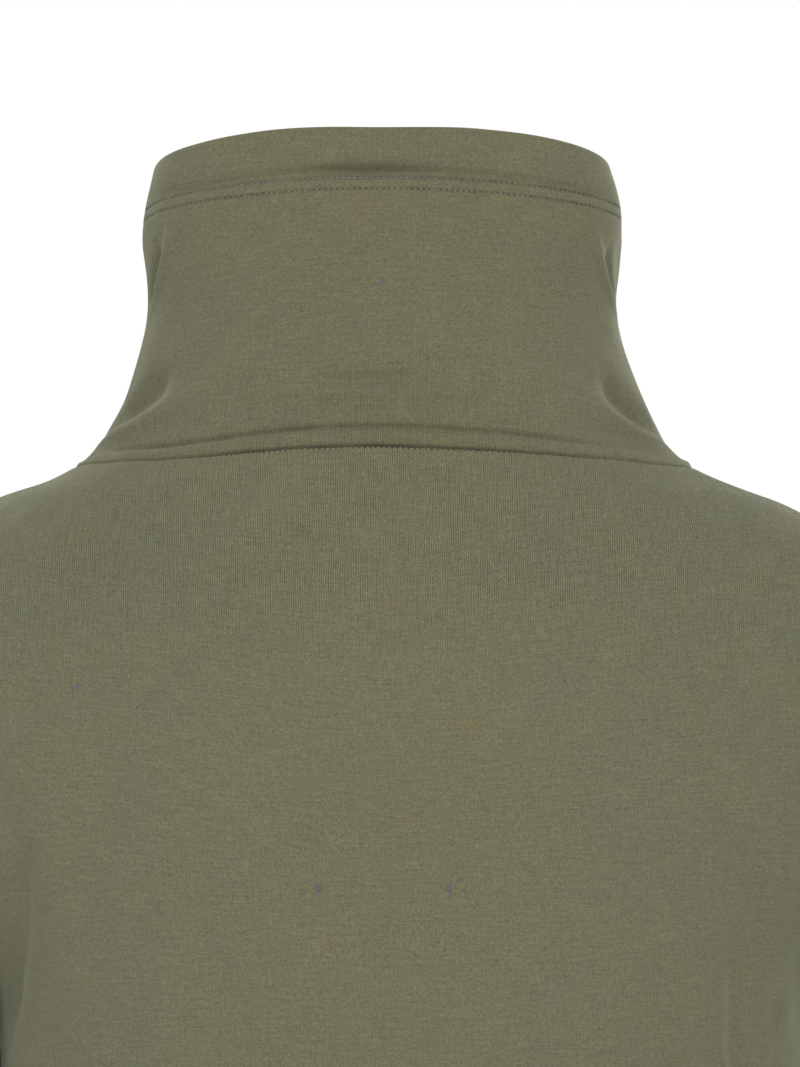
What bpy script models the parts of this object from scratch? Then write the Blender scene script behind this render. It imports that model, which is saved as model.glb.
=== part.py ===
"""A hollow sweatshirt with a high funnel collar, filled out as if worn, with its sleeves hanging.

Units are metres and +Z is up. The origin lies between the two shoulder neck points, where the garment
hangs on the shoulders. Its back faces -Y, its front faces +Y, and the wearer's right arm is at +X.

The cloth is a set of cut pieces: back, front, two sleeves and a funnel collar in two halves. Each piece
is a wall of cloth through rings that are read from the tables below. Neighbouring pieces share the
points of their seam, and stand SEAM_GAP apart along it.
"""

import math
from collections import namedtuple

import bmesh
import bpy
import numpy as np

# ---- Cloth -----------------------------------------------------------------------------------------

CLOTH = 0.0020  # thickness of the brushed knit
TURNED_CLOTH = 0.0038  # thickness where an edge is turned in and stitched through
SEAM_GAP = 0.0003
TURNED_STEP = 0.002  # width of the step where a turned edge ends inside
BODY_HEM_DEPTH = 0.030
CUFF_HEM_DEPTH = 0.030
COLLAR_HEM_DEPTH = 0.030

# ---- Mesh density ----------------------------------------------------------------------------------

PANEL_COLUMNS = 22  # across the back, the front, and each half of the collar
ARMHOLE_ROWS = 9  # from the underarm to the shoulder tip, and around half a sleeve

# ---- Torso -----------------------------------------------------------------------------------------

# One row for each level of the torso. drop is the distance down the centre back from the neck seam, and
# names the level. The ring at a level runs through a point at each side, one at the centre back and one
# at the centre front. square is the power of the rounded-square outline. The crowns are the powers by
# which the ring's height goes from the sides to the centre back and the centre front. corner_rise lifts
# the ring's two back corners.
Ring = namedtuple(
    "Ring",
    "drop side_z half_width side_y back_z back_y front_z front_y square back_crown front_crown "
    "corner_rise",
    defaults=(0.0,),
)
TORSO = (
    Ring(0.000, 0.0000, 0.1490, 0.000, 0.006, -0.088, -0.060, 0.095, 2.25, 2.5, 1.3),
    Ring(0.012, -0.0062, 0.1625, 0.001, -0.006, -0.092, -0.066, 0.099, 2.20, 2.4, 1.3),
    Ring(0.030, -0.0150, 0.1880, 0.003, -0.023, -0.098, -0.075, 0.104, 2.15, 2.3, 1.4),
    Ring(0.062, -0.0360, 0.2280, 0.004, -0.053, -0.106, -0.094, 0.113, 2.25, 2.2, 1.6),
    Ring(0.155, -0.1280, 0.2320, 0.005, -0.145, -0.116, -0.158, 0.126, 2.50, 2.0, 2.0),
    Ring(0.215, -0.2050, 0.2060, 0.005, -0.205, -0.118, -0.208, 0.130, 2.55, 2.0, 2.0),
    Ring(0.245, -0.2350, 0.1940, 0.005, -0.235, -0.118, -0.237, 0.130, 2.50, 2.0, 2.0),
    Ring(0.290, -0.2820, 0.1890, 0.005, -0.280, -0.117, -0.281, 0.129, 2.45, 2.0, 2.0),
    Ring(0.340, -0.3320, 0.1890, 0.005, -0.330, -0.115, -0.331, 0.126, 2.40, 2.0, 2.0),
    Ring(0.460, -0.4500, 0.1920, 0.005, -0.450, -0.110, -0.450, 0.121, 2.35, 2.0, 2.0),
    Ring(0.650, -0.6400, 0.2000, 0.005, -0.640, -0.116, -0.640, 0.127, 2.30, 2.0, 2.0),
)
UNDERARM_DROP = 0.245
SHOULDER_TIP_DROP = 0.062
HEM_DROP = 0.650
ARMHOLE_SPREAD = math.radians(20)  # how far the armhole reaches in from the side line
ARMHOLE_LEAD = 0.030  # how far behind the armhole the sleeve takes its first direction from

# The body and the sleeves lean a little to the wearer's right below the shoulders.
LEAN = 0.009
LEAN_TOP_Z = -0.080
LEAN_FULL_Z = -0.235

# ---- Funnel collar ---------------------------------------------------------------------------------

# The same columns. Here drop is minus the height up the centre back of the collar.
COLLAR = (
    Ring(0.000, 0.0000, 0.1490, 0.000, 0.006, -0.0880, -0.060, 0.095, 2.25, 2.5, 1.30),
    Ring(-0.010, 0.0080, 0.1385, 0.000, 0.016, -0.0865, -0.048, 0.094, 2.20, 2.3, 1.30),
    Ring(-0.024, 0.0210, 0.1305, 0.000, 0.029, -0.0840, -0.033, 0.092, 2.15, 2.0, 1.25),
    Ring(-0.044, 0.0400, 0.1215, 0.000, 0.048, -0.0800, -0.010, 0.089, 2.15, 1.8, 1.20),
    Ring(-0.074, 0.0710, 0.1130, 0.000, 0.077, -0.0750, 0.025, 0.085, 2.20, 1.6, 1.15),
    Ring(-0.100, 0.0960, 0.1132, 0.000, 0.103, -0.0720, 0.056, 0.081, 2.35, 1.3, 1.10),
    Ring(-0.125, 0.1185, 0.1150, 0.000, 0.129, -0.0710, 0.087, 0.078, 2.50, 1.0, 1.05, 0.0008),
    Ring(-0.151, 0.1410, 0.1095, 0.000, 0.157, -0.0700, 0.117, 0.075, 2.60, 0.8, 1.00, 0.0022),
)
RIM_DROP = -0.151

# ---- Sleeve ----------------------------------------------------------------------------------------

# One row for each ring of the wearer's right sleeve, from just below the armhole to the cuff. outer is
# the point over the arm and inner the one beneath it, in the plane of X and Z. centre_y is the ring's
# middle, and half_depth its reach to the back and to the front.
SleeveRing = namedtuple(
    "SleeveRing", "station outer_x outer_z inner_x inner_z centre_y half_depth"
)
SLEEVE = (
    SleeveRing(0.045, 0.2600, -0.073, 0.2010, -0.2425, 0.006, 0.0730),
    SleeveRing(0.095, 0.2830, -0.124, 0.1962, -0.2580, 0.008, 0.0700),
    SleeveRing(0.165, 0.3010, -0.195, 0.1940, -0.2900, 0.010, 0.0655),
    SleeveRing(0.250, 0.3120, -0.280, 0.1970, -0.3440, 0.014, 0.0600),
    SleeveRing(0.345, 0.3200, -0.376, 0.2100, -0.4200, 0.024, 0.0540),
    SleeveRing(0.445, 0.3290, -0.475, 0.2360, -0.5030, 0.042, 0.0470),
    SleeveRing(0.560, 0.3390, -0.586, 0.2700, -0.5990, 0.066, 0.0385),
)
CUFF_STATION = 0.560

# ---- Folds -----------------------------------------------------------------------------------------

# One row for each large fold. On the torso and the collar a place is (degrees from the centre back
# towards the wearer's right, drop). On a sleeve it is (degrees from the outer line towards the back,
# station). width is the fold's half width, and height is negative where the fold is a trough.
Fold = namedtuple("Fold", "start end width height")
TORSO_FOLDS = (
    Fold((72, 0.250), (46, 0.400), 0.020, -0.0060),
    Fold((-70, 0.245), (-52, 0.430), 0.022, -0.0055),
    Fold((58, 0.330), (50, 0.640), 0.028, 0.0055),
    Fold((-44, 0.420), (-40, 0.650), 0.026, 0.0060),
    Fold((18, 0.480), (14, 0.650), 0.024, -0.0045),
    Fold((-12, 0.520), (-16, 0.650), 0.022, -0.0040),
    Fold((112, 0.240), (140, 0.360), 0.022, -0.0065),
    Fold((-113, 0.235), (-136, 0.350), 0.020, -0.0060),
    Fold((128, 0.380), (134, 0.650), 0.028, 0.0060),
    Fold((-130, 0.330), (-140, 0.645), 0.026, 0.0055),
    Fold((166, 0.440), (160, 0.650), 0.024, -0.0050),
    Fold((-164, 0.400), (-168, 0.650), 0.026, -0.0045),
)
COLLAR_FOLDS = (
    Fold((62, -0.020), (34, -0.052), 0.010, 0.0030),
    Fold((-62, -0.020), (-34, -0.052), 0.010, 0.0030),
    Fold((140, -0.030), (215, -0.042), 0.012, 0.0045),
    Fold((150, -0.070), (200, -0.082), 0.013, 0.0040),
)
SLEEVE_FOLDS = (
    Fold((250, 0.100), (205, 0.210), 0.016, -0.0060),
    Fold((110, 0.110), (150, 0.220), 0.015, -0.0055),
    Fold((230, 0.285), (300, 0.250), 0.012, -0.0055),
    Fold((200, 0.330), (290, 0.325), 0.013, -0.0050),
    Fold((120, 0.340), (60, 0.310), 0.014, 0.0045),
    Fold((210, 0.420), (130, 0.440), 0.013, -0.0040),
    Fold((330, 0.470), (240, 0.450), 0.012, -0.0040),
)
FOLD_STEPS = 8  # straight pieces that a fold's path is measured along
FOLD_FADE = 0.35  # share of a fold's length over which each end fades out

CLOTH_COLOUR = (0.162, 0.158, 0.100, 1.0)


# ---- Curves through tables -------------------------------------------------------------------------


def smooth_between(knots, values, at):
    """Read a smooth curve through values, which stand at the rising knots."""
    knots = np.asarray(knots, float)
    values = np.asarray(values, float)
    steps = np.diff(knots)
    wide = steps.reshape((-1,) + (1,) * (values.ndim - 1))
    slopes = np.diff(values, axis=0) / wide
    tangents = np.empty_like(values)
    tangents[1:-1] = (wide[1:] * slopes[:-1] + wide[:-1] * slopes[1:]) / (wide[:-1] + wide[1:])
    tangents[0] = (3 * slopes[0] - tangents[1]) / 2
    tangents[-1] = (3 * slopes[-1] - tangents[-2]) / 2
    at = np.clip(np.asarray(at, float), knots[0], knots[-1])
    index = np.clip(np.searchsorted(knots, at, side="right") - 1, 0, len(steps) - 1)
    share = (at - knots[index]) / steps[index]
    share = share.reshape(share.shape + (1,) * (values.ndim - 1))
    step = steps[index].reshape(share.shape)
    rest = 1 - share
    return (
        rest**2 * (1 + 2 * share) * values[index]
        + share**2 * (3 - 2 * share) * values[index + 1]
        + share * rest**2 * step * tangents[index]
        - share**2 * rest * step * tangents[index + 1]
    )


def ring_points(rings, drop, angle):
    """Points of the surface through rings, at angles from the centre back towards the wearer's right."""
    table = np.array(sorted(rings))
    drop, angle = np.broadcast_arrays(drop, angle)
    level = Ring(*np.moveaxis(smooth_between(table[:, 0], table, drop), -1, 0))
    sine, cosine = np.sin(angle), np.cos(angle)
    depth = np.where(cosine > 0, level.side_y - level.back_y, level.front_y - level.side_y)
    across = np.abs(sine) / level.half_width
    along = np.abs(cosine) / depth
    radius = (across**level.square + along**level.square) ** (-1 / level.square)
    centre_z = np.where(cosine > 0, level.back_z, level.front_z)
    lift = np.abs(cosine) ** np.where(cosine > 0, level.back_crown, level.front_crown)
    rise = np.where(cosine > 0, level.corner_rise, 0.0) * np.sin(2 * angle) ** 2
    height = level.side_z + (centre_z - level.side_z) * lift + rise
    return np.stack([radius * sine, level.side_y - radius * cosine, height], axis=-1)


def armhole_place(turn, scale=1.0):
    """The armhole's (drop, angle) at a turn from the shoulder tip towards the back."""
    middle = (UNDERARM_DROP + SHOULDER_TIP_DROP) / 2
    half = (UNDERARM_DROP - SHOULDER_TIP_DROP) / 2
    drop = middle - scale * half * np.cos(turn)
    angle = math.pi / 2 - scale * ARMHOLE_SPREAD * np.sin(turn)
    return drop, angle


def armhole_points(turn):
    """Points of the right armhole, at turns from the shoulder tip towards the back."""
    return ring_points(TORSO, *armhole_place(turn))


def armhole_lead(turn):
    """Points behind the armhole that the sleeve's first direction comes from.

    Over the shoulder they lie on the torso. Under the arm they lie straight inside the armhole.
    """
    half = (UNDERARM_DROP - SHOULDER_TIP_DROP) / 2
    over = ring_points(TORSO, *armhole_place(turn, 1 + ARMHOLE_LEAD / half))
    under = armhole_points(turn) - (ARMHOLE_LEAD, 0.0, 0.0)
    share = ((1 - np.cos(turn)) / 2)[:, None] ** 2
    return over + (under - over) * share


def sleeve_ring(ring, turn):
    """Points of one ring of the right sleeve, at turns from its outer line towards the back."""
    outer = np.array([ring.outer_x, ring.centre_y, ring.outer_z])
    inner = np.array([ring.inner_x, ring.centre_y, ring.inner_z])
    up = (outer - inner) / 2
    back = np.array([0.0, -ring.half_depth, 0.0])
    turn = turn[:, None]
    return (outer + inner) / 2 + up * np.cos(turn) + back * np.sin(turn)


def sleeve_points(station, turn):
    """Points of the right sleeve, in a row for each station."""
    turn = np.asarray(turn, float)
    stations = [-ARMHOLE_LEAD, 0.0] + [ring.station for ring in SLEEVE]
    rings = [armhole_lead(turn), armhole_points(turn)]
    rings += [sleeve_ring(ring, turn) for ring in SLEEVE]
    return smooth_between(stations, rings, station)


def leaning(points):
    """The same points moved by the garment's lean."""
    share = np.clip((LEAN_TOP_Z - points[..., 2]) / (LEAN_TOP_Z - LEAN_FULL_Z), 0, 1)
    share = share * share * (3 - 2 * share)
    return points + LEAN * share[..., None] * (1, 0, 0)


# ---- Grids -----------------------------------------------------------------------------------------


def mirrored(grid):
    """The same grid for the wearer's left side, with its columns still counter-clockwise from above."""
    return grid[:, ::-1] * (-1, 1, 1)


def panel_levels():
    """The drop and the half angle of each row of the back and the front, from the hem up."""
    quarter = math.pi / 2
    hem = HEM_DROP - np.array([0.0, BODY_HEM_DEPTH, BODY_HEM_DEPTH + TURNED_STEP])
    side = np.linspace(hem[-1], UNDERARM_DROP, 8)[1:-1]
    turn = np.linspace(math.pi, 0.0, ARMHOLE_ROWS + 1)
    arm_drop, arm_angle = armhole_place(turn)
    shoulder = np.linspace(SHOULDER_TIP_DROP, 0.0, 5)[1:]
    drop = np.concatenate([hem, side, arm_drop, shoulder])
    half_angle = np.concatenate(
        [np.full(len(hem) + len(side), quarter), arm_angle, np.full(len(shoulder), quarter)]
    )
    return drop, half_angle


def panel_grid(middle):
    """The back, where middle is 0, or the front, where it is half a turn."""
    drop, half_angle = panel_levels()
    across = np.linspace(-1, 1, PANEL_COLUMNS + 1)
    return ring_points(TORSO, drop[:, None], middle + half_angle[:, None] * across)


def collar_levels():
    """The drop of each row of the collar, from the neck seam up."""
    fold = RIM_DROP + COLLAR_HEM_DEPTH
    stand = [0.0, -0.010, -0.024, -0.042, -0.066, -0.092, fold + TURNED_STEP]
    return np.array(stand + [fold, RIM_DROP + 0.008, RIM_DROP])


def collar_grid(middle):
    """The back half of the collar, where middle is 0, or the front half."""
    across = np.linspace(-1, 1, PANEL_COLUMNS + 1)
    return ring_points(COLLAR, collar_levels()[:, None], middle + math.pi / 2 * across)


def sleeve_levels():
    """The station of each row of a sleeve, from the cuff up to the armhole."""
    hem = CUFF_STATION - np.array([0.0, CUFF_HEM_DEPTH, CUFF_HEM_DEPTH + TURNED_STEP])
    arm = [0.470, 0.405, 0.345, 0.290, 0.240, 0.185, 0.135, 0.095, 0.060, 0.030, 0.010, 0.0]
    return np.concatenate([hem, arm])


def sleeve_grid():
    """The wearer's right sleeve, with its columns counter-clockwise from above."""
    turn = -np.arange(2 * ARMHOLE_ROWS) * math.pi / ARMHOLE_ROWS
    return sleeve_points(sleeve_levels(), turn)


# ---- Surface directions ----------------------------------------------------------------------------


def differences(grid, axis, closed):
    """The direction of a grid's lines along an axis, at each of its points."""
    if closed:
        return np.roll(grid, -1, axis) - np.roll(grid, 1, axis)
    return np.gradient(grid, axis=axis)


def unit(vectors):
    """The same directions at length one."""
    return vectors / np.linalg.norm(vectors, axis=-1, keepdims=True)


def outward(grid, closed):
    """The outward direction at each point of a grid of columns round and rows up."""
    return unit(np.cross(differences(grid, 1, closed), differences(grid, 0, False)))


def edge_of(grid, closed):
    """A mask of the points on a grid's edges."""
    edge = np.zeros(grid.shape[:2], bool)
    edge[[0, -1]] = True
    if not closed:
        edge[:, [0, -1]] = True
    return edge


def seam_key(point):
    """A name for a place, the same for two pieces that meet there."""
    return tuple(np.round(point * 1e5).astype(int))


def shared_directions(pieces):
    """Outward directions of every piece, made one along the seams, and how far a wall reaches there.

    Where two pieces meet at an angle, both walls end on the plane that halves it.
    """
    own = {name: outward(grid, closed) for name, (grid, closed) in pieces.items()}
    meeting = {}
    for name, (grid, closed) in pieces.items():
        for row, column in np.argwhere(edge_of(grid, closed)):
            meeting.setdefault(seam_key(grid[row, column]), []).append((name, row, column))
    reach = {name: np.ones(grid.shape[:2]) for name, (grid, _) in pieces.items()}
    shared = {name: directions.copy() for name, directions in own.items()}
    for places in meeting.values():
        met = np.array([own[name][row, column] for name, row, column in places])
        middle = unit(met.sum(axis=0))
        mitre = 1 / max(0.5, float((met @ middle).mean()))
        for name, row, column in places:
            shared[name][row, column] = middle
            reach[name][row, column] = mitre
    return shared, reach


# ---- Folds -----------------------------------------------------------------------------------------


def fold_height(points, path, fold):
    """How far a fold lifts each point, from the point's distance to the fold's path."""
    starts, spans = path[:-1], np.diff(path, axis=0)
    offset = points[..., None, :] - starts
    along = np.clip((offset * spans).sum(-1) / (spans**2).sum(-1), 0, 1)
    distance = np.linalg.norm(offset - along[..., None] * spans, axis=-1)
    nearest = distance.argmin(axis=-1)[..., None]
    share = np.take_along_axis(along + np.arange(len(spans)), nearest, -1)[..., 0] / len(spans)
    fade = np.clip(np.minimum(share, 1 - share) / FOLD_FADE, 0, 1)
    fade = fade * fade * (3 - 2 * fade)
    close = np.take_along_axis(distance, nearest, -1)[..., 0] / fold.width
    return fold.height * fade * np.exp(-(close**2))


def fold_paths():
    """Every fold with the points that its path runs through."""
    share = np.linspace(0, 1, FOLD_STEPS + 1)
    found = []
    for rings, folds in ((TORSO, TORSO_FOLDS), (COLLAR, COLLAR_FOLDS)):
        for fold in folds:
            angle = np.radians(fold.start[0] + (fold.end[0] - fold.start[0]) * share)
            drop = fold.start[1] + (fold.end[1] - fold.start[1]) * share
            found.append((fold, ring_points(rings, drop, angle)))
    for fold in SLEEVE_FOLDS:
        turn = np.radians(fold.start[0] + (fold.end[0] - fold.start[0]) * share)
        station = fold.start[1] + (fold.end[1] - fold.start[1]) * share
        path = np.array([sleeve_points(s, [t])[0] for s, t in zip(station, turn)])
        found += [(fold, path), (fold, path * (-1, 1, 1))]
    return found


def with_folds(pieces):
    """The same pieces with their large folds raised and sunk, and with the garment's lean."""
    directions, _ = shared_directions(pieces)
    paths = fold_paths()
    folded = {}
    for name, (grid, closed) in pieces.items():
        height = sum(fold_height(grid, path, fold) for fold, path in paths)
        folded[name] = (leaning(grid + directions[name] * height[..., None]), closed)
    return folded


# ---- Walls of cloth --------------------------------------------------------------------------------


def turned_thickness(grid, hem_row):
    """The cloth's thickness over a grid, double in the rows from its free edge to hem_row."""
    thickness = np.full(grid.shape[:2], CLOTH)
    if hem_row < 0:
        thickness[hem_row:] = TURNED_CLOTH
    else:
        thickness[: hem_row + 1] = TURNED_CLOTH
    return thickness


def pulled_in(grid, closed, seam_rows):
    """Each seam edge moved half the seam gap into its piece, as a change of place."""
    change = np.zeros_like(grid)
    for row in seam_rows:
        inward = grid[1 if row == 0 else -2] - grid[row]
        change[row] += unit(inward) * SEAM_GAP / 2
    if not closed:
        for column, inside in ((0, 1), (-1, -2)):
            change[:, column] += unit(grid[:, inside] - grid[:, column]) * SEAM_GAP / 2
    return change


def wall_faces(rows, columns, closed):
    """Faces of a wall: an outer and an inner grid, and the strip round their edges."""
    count = rows * columns
    last = columns if closed else columns - 1

    def corner(row, column, inner):
        return row * columns + column % columns + (count if inner else 0)

    faces = []
    for row in range(rows - 1):
        for column in range(last):
            square = ((row, column), (row, column + 1), (row + 1, column + 1), (row + 1, column))
            faces.append([corner(*place, False) for place in square])
            faces.append([corner(*place, True) for place in reversed(square)])
    for column in range(last):
        for row, near, far in ((0, column + 1, column), (rows - 1, column, column + 1)):
            strip = ((near, False), (far, False), (far, True), (near, True))
            faces.append([corner(row, place, inner) for place, inner in strip])
    if not closed:
        for row in range(rows - 1):
            for column, near, far in ((0, row, row + 1), (columns - 1, row + 1, row)):
                strip = ((near, False), (far, False), (far, True), (near, True))
                faces.append([corner(place, column, inner) for place, inner in strip])
    return faces


def split_squares(mesh):
    """Split every square along its shorter diagonal, so that both sides of the garment split alike."""
    work = bmesh.new()
    work.from_mesh(mesh)
    bmesh.ops.triangulate(work, faces=work.faces, quad_method="SHORT_EDGE")
    work.to_mesh(mesh)
    work.free()


def make_wall(name, outer, inner, closed, collection, material):
    """A closed wall of cloth between an outer and an inner grid."""
    rows, columns = outer.shape[:2]
    points = np.concatenate([outer.reshape(-1, 3), inner.reshape(-1, 3)])
    mesh = bpy.data.meshes.new(name)
    mesh.from_pydata(points.tolist(), [], wall_faces(rows, columns, closed))
    split_squares(mesh)
    mesh.shade_smooth()
    mesh.set_sharp_from_angle(angle=math.radians(50))
    mesh.materials.append(material)
    piece = bpy.data.objects.new(name, mesh)
    collection.objects.link(piece)
    return piece


def cloth_material(name):
    """Matt olive knit."""
    material = bpy.data.materials.new(name)
    material.use_nodes = True
    shader = material.node_tree.nodes["Principled BSDF"]
    shader.inputs["Base Color"].default_value = CLOTH_COLOUR
    shader.inputs["Roughness"].default_value = 0.92
    shader.inputs["Metallic"].default_value = 0.0
    return material


# ---- The garment -----------------------------------------------------------------------------------

HEM_ROW = 1  # the row where a turned edge ends, counted from the free edge
RIM_ROW = -3
BOTH_ENDS = (0, -1)


def clear_scene():
    """Start from an empty scene."""
    for old in list(bpy.data.objects):
        bpy.data.objects.remove(old, do_unlink=True)


def cut_pieces():
    """Every piece's outer grid, and whether its columns close into a tube."""
    sleeve = sleeve_grid()
    return {
        "back": (panel_grid(0.0), False),
        "front": (panel_grid(math.pi), False),
        "sleeve_right": (sleeve, True),
        "sleeve_left": (mirrored(sleeve), True),
        "collar_back": (collar_grid(0.0), False),
        "collar_front": (collar_grid(math.pi), False),
    }


def build_garment():
    """Make each cut piece as a wall of cloth."""
    collection = bpy.data.collections.new("sweatshirt")
    bpy.context.scene.collection.children.link(collection)
    pieces = with_folds(cut_pieces())
    directions, reach = shared_directions(pieces)
    for name, (grid, closed) in pieces.items():
        collar = name.startswith("collar")
        thickness = turned_thickness(grid, RIM_ROW if collar else HEM_ROW) * reach[name]
        change = pulled_in(grid, closed, (0,) if collar else (-1,))
        outer = grid + change
        inner = outer - directions[name] * thickness[..., None]
        make_wall(name, outer, inner, closed, collection, cloth_material(name))


clear_scene()
build_garment()
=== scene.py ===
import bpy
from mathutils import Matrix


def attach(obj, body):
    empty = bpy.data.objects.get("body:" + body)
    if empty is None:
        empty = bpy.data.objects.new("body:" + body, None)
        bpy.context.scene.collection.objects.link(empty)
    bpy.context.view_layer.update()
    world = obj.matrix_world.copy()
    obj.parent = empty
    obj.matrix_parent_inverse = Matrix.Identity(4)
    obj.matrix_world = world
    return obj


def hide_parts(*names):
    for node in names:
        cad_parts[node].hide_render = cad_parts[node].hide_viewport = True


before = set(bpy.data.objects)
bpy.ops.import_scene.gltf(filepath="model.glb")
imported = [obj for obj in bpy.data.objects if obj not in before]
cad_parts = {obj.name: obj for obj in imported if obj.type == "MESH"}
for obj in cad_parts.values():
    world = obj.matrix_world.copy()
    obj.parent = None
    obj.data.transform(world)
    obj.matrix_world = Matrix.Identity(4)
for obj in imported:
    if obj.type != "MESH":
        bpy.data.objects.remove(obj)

"""A hollow knit sweatshirt with a high funnel collar, filled out and seen from behind.

Units are metres and +Z is up. The origin lies between the two shoulder neck points. The back faces -Y and
the wearer's right arm is at +X. Each cut piece is a wall of knit on the form that its CAD solid has, with
finer creases, seams that dip between the pieces, and rounded turned edges. Stitches are laid on top.
"""

import logging
import math
from abc import ABC, abstractmethod
from collections.abc import Iterable, Sequence
from dataclasses import dataclass, field
from enum import Enum
from functools import reduce
from typing import NamedTuple

import bpy
import numpy as np
from mathutils import Euler, Vector
from mathutils.kdtree import KDTree
from numpy.typing import NDArray

Points = NDArray[np.float64]
Values = NDArray[np.float64]
Indices = NDArray[np.int64]
Socket = bpy.types.NodeSocket
Pair = tuple[float, float]
Triple = tuple[float, float, float]
Colour = tuple[float, float, float, float]

LOG = logging.getLogger("sweatshirt")
QUARTER = math.pi / 2

# ---- The form's tables -----------------------------------------------------------------------------


class Ring(NamedTuple):
    """One level of the torso or the collar, named by its drop down the centre back.

    The ring runs through a point at each side, one at the centre back and one at the centre front. square
    is the power of its rounded-square outline, and the crowns are the powers by which its height goes
    from the sides to the centre back and the centre front. corner_rise lifts its two back corners.
    """

    drop: float
    side_z: float
    half_width: float
    side_y: float
    back_z: float
    back_y: float
    front_z: float
    front_y: float
    square: float
    back_crown: float
    front_crown: float
    corner_rise: float = 0.0


class SleeveRing(NamedTuple):
    """One ring of the wearer's right sleeve, with its outer and inner points in the plane of X and Z."""

    station: float
    outer_x: float
    outer_z: float
    inner_x: float
    inner_z: float
    centre_y: float
    half_depth: float


TORSO = (
    Ring(0.000, 0.0000, 0.1490, 0.000, 0.006, -0.088, -0.060, 0.095, 2.25, 2.5, 1.3),
    Ring(0.012, -0.0062, 0.1625, 0.001, -0.006, -0.092, -0.066, 0.099, 2.20, 2.4, 1.3),
    Ring(0.030, -0.0150, 0.1880, 0.003, -0.023, -0.098, -0.075, 0.104, 2.15, 2.3, 1.4),
    Ring(0.062, -0.0360, 0.2280, 0.004, -0.053, -0.106, -0.094, 0.113, 2.25, 2.2, 1.6),
    Ring(0.155, -0.1280, 0.2320, 0.005, -0.145, -0.116, -0.158, 0.126, 2.50, 2.0, 2.0),
    Ring(0.215, -0.2050, 0.2060, 0.005, -0.205, -0.118, -0.208, 0.130, 2.55, 2.0, 2.0),
    Ring(0.245, -0.2350, 0.1940, 0.005, -0.235, -0.118, -0.237, 0.130, 2.50, 2.0, 2.0),
    Ring(0.290, -0.2820, 0.1890, 0.005, -0.280, -0.117, -0.281, 0.129, 2.45, 2.0, 2.0),
    Ring(0.340, -0.3320, 0.1890, 0.005, -0.330, -0.115, -0.331, 0.126, 2.40, 2.0, 2.0),
    Ring(0.460, -0.4500, 0.1920, 0.005, -0.450, -0.110, -0.450, 0.121, 2.35, 2.0, 2.0),
    Ring(0.650, -0.6400, 0.2000, 0.005, -0.640, -0.116, -0.640, 0.127, 2.30, 2.0, 2.0),
)
COLLAR = (
    Ring(0.000, 0.0000, 0.1490, 0.000, 0.006, -0.0880, -0.060, 0.095, 2.25, 2.5, 1.30),
    Ring(-0.010, 0.0080, 0.1385, 0.000, 0.016, -0.0865, -0.048, 0.094, 2.20, 2.3, 1.30),
    Ring(-0.024, 0.0210, 0.1305, 0.000, 0.029, -0.0840, -0.033, 0.092, 2.15, 2.0, 1.25),
    Ring(-0.044, 0.0400, 0.1215, 0.000, 0.048, -0.0800, -0.010, 0.089, 2.15, 1.8, 1.20),
    Ring(-0.074, 0.0710, 0.1130, 0.000, 0.077, -0.0750, 0.025, 0.085, 2.20, 1.6, 1.15),
    Ring(-0.100, 0.0960, 0.1132, 0.000, 0.103, -0.0720, 0.056, 0.081, 2.35, 1.3, 1.10),
    Ring(-0.125, 0.1185, 0.1150, 0.000, 0.129, -0.0710, 0.087, 0.078, 2.50, 1.0, 1.05, 0.0008),
    Ring(-0.151, 0.1410, 0.1095, 0.000, 0.157, -0.0700, 0.117, 0.075, 2.60, 0.8, 1.00, 0.0022),
)
SLEEVE = (
    SleeveRing(0.045, 0.2600, -0.073, 0.2010, -0.2425, 0.006, 0.0730),
    SleeveRing(0.095, 0.2830, -0.124, 0.1962, -0.2580, 0.008, 0.0700),
    SleeveRing(0.165, 0.3010, -0.195, 0.1940, -0.2900, 0.010, 0.0655),
    SleeveRing(0.250, 0.3120, -0.280, 0.1970, -0.3440, 0.014, 0.0600),
    SleeveRing(0.345, 0.3200, -0.376, 0.2100, -0.4200, 0.024, 0.0540),
    SleeveRing(0.445, 0.3290, -0.475, 0.2360, -0.5030, 0.042, 0.0470),
    SleeveRing(0.560, 0.3390, -0.586, 0.2700, -0.5990, 0.066, 0.0385),
)

# places on the form, as drops, stations and heights
UNDERARM_DROP = 0.245
SHOULDER_TIP_DROP = 0.062
HEM_DROP = 0.650
RIM_DROP = -0.151
CUFF_STATION = 0.560
ARMHOLE_SPREAD = math.radians(20)
ARMHOLE_LEAD = 0.030
LEAN = 0.009
LEAN_TOP_Z = -0.080
LEAN_FULL_Z = -0.235

# the cloth and its edges
CLOTH = 0.0020
TURNED_CLOTH = 0.0038
TURNED_DEPTH = 0.030
TURNED_STEP = 0.002
SEAM_LAP = 0.0002
TWIN_ROWS = (0.0222, 0.0273)
STITCH_PITCH = 0.0027
STITCH_DIP = 0.00030
STITCH_DIP_WIDTH = 0.0010
SEAM_MAP_REACH = 0.02

# a small step in metres and in radians, a place just past a seam, a share just under the whole, and
# the angle from which an edge is shaded sharp
SMALL = 2e-4
SMALL_TURN = 2e-3
PAST = 1e-3
ALMOST = 0.9999
SHARP = math.radians(55)

# ---- Folds and creases -----------------------------------------------------------------------------


@dataclass(frozen=True)
class Fold:
    """A soft ridge or, where height is negative, a trough along a path on the cloth.

    On the torso and the collar a place is (degrees from the centre back towards the wearer's right,
    drop). On a sleeve it is (degrees from the outer line towards the back, station). width and height are
    metres, and fade is the share of the path over which each end dies away.
    """

    places: tuple[Pair, ...]
    width: float
    height: float
    fade: float = 0.35


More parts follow.
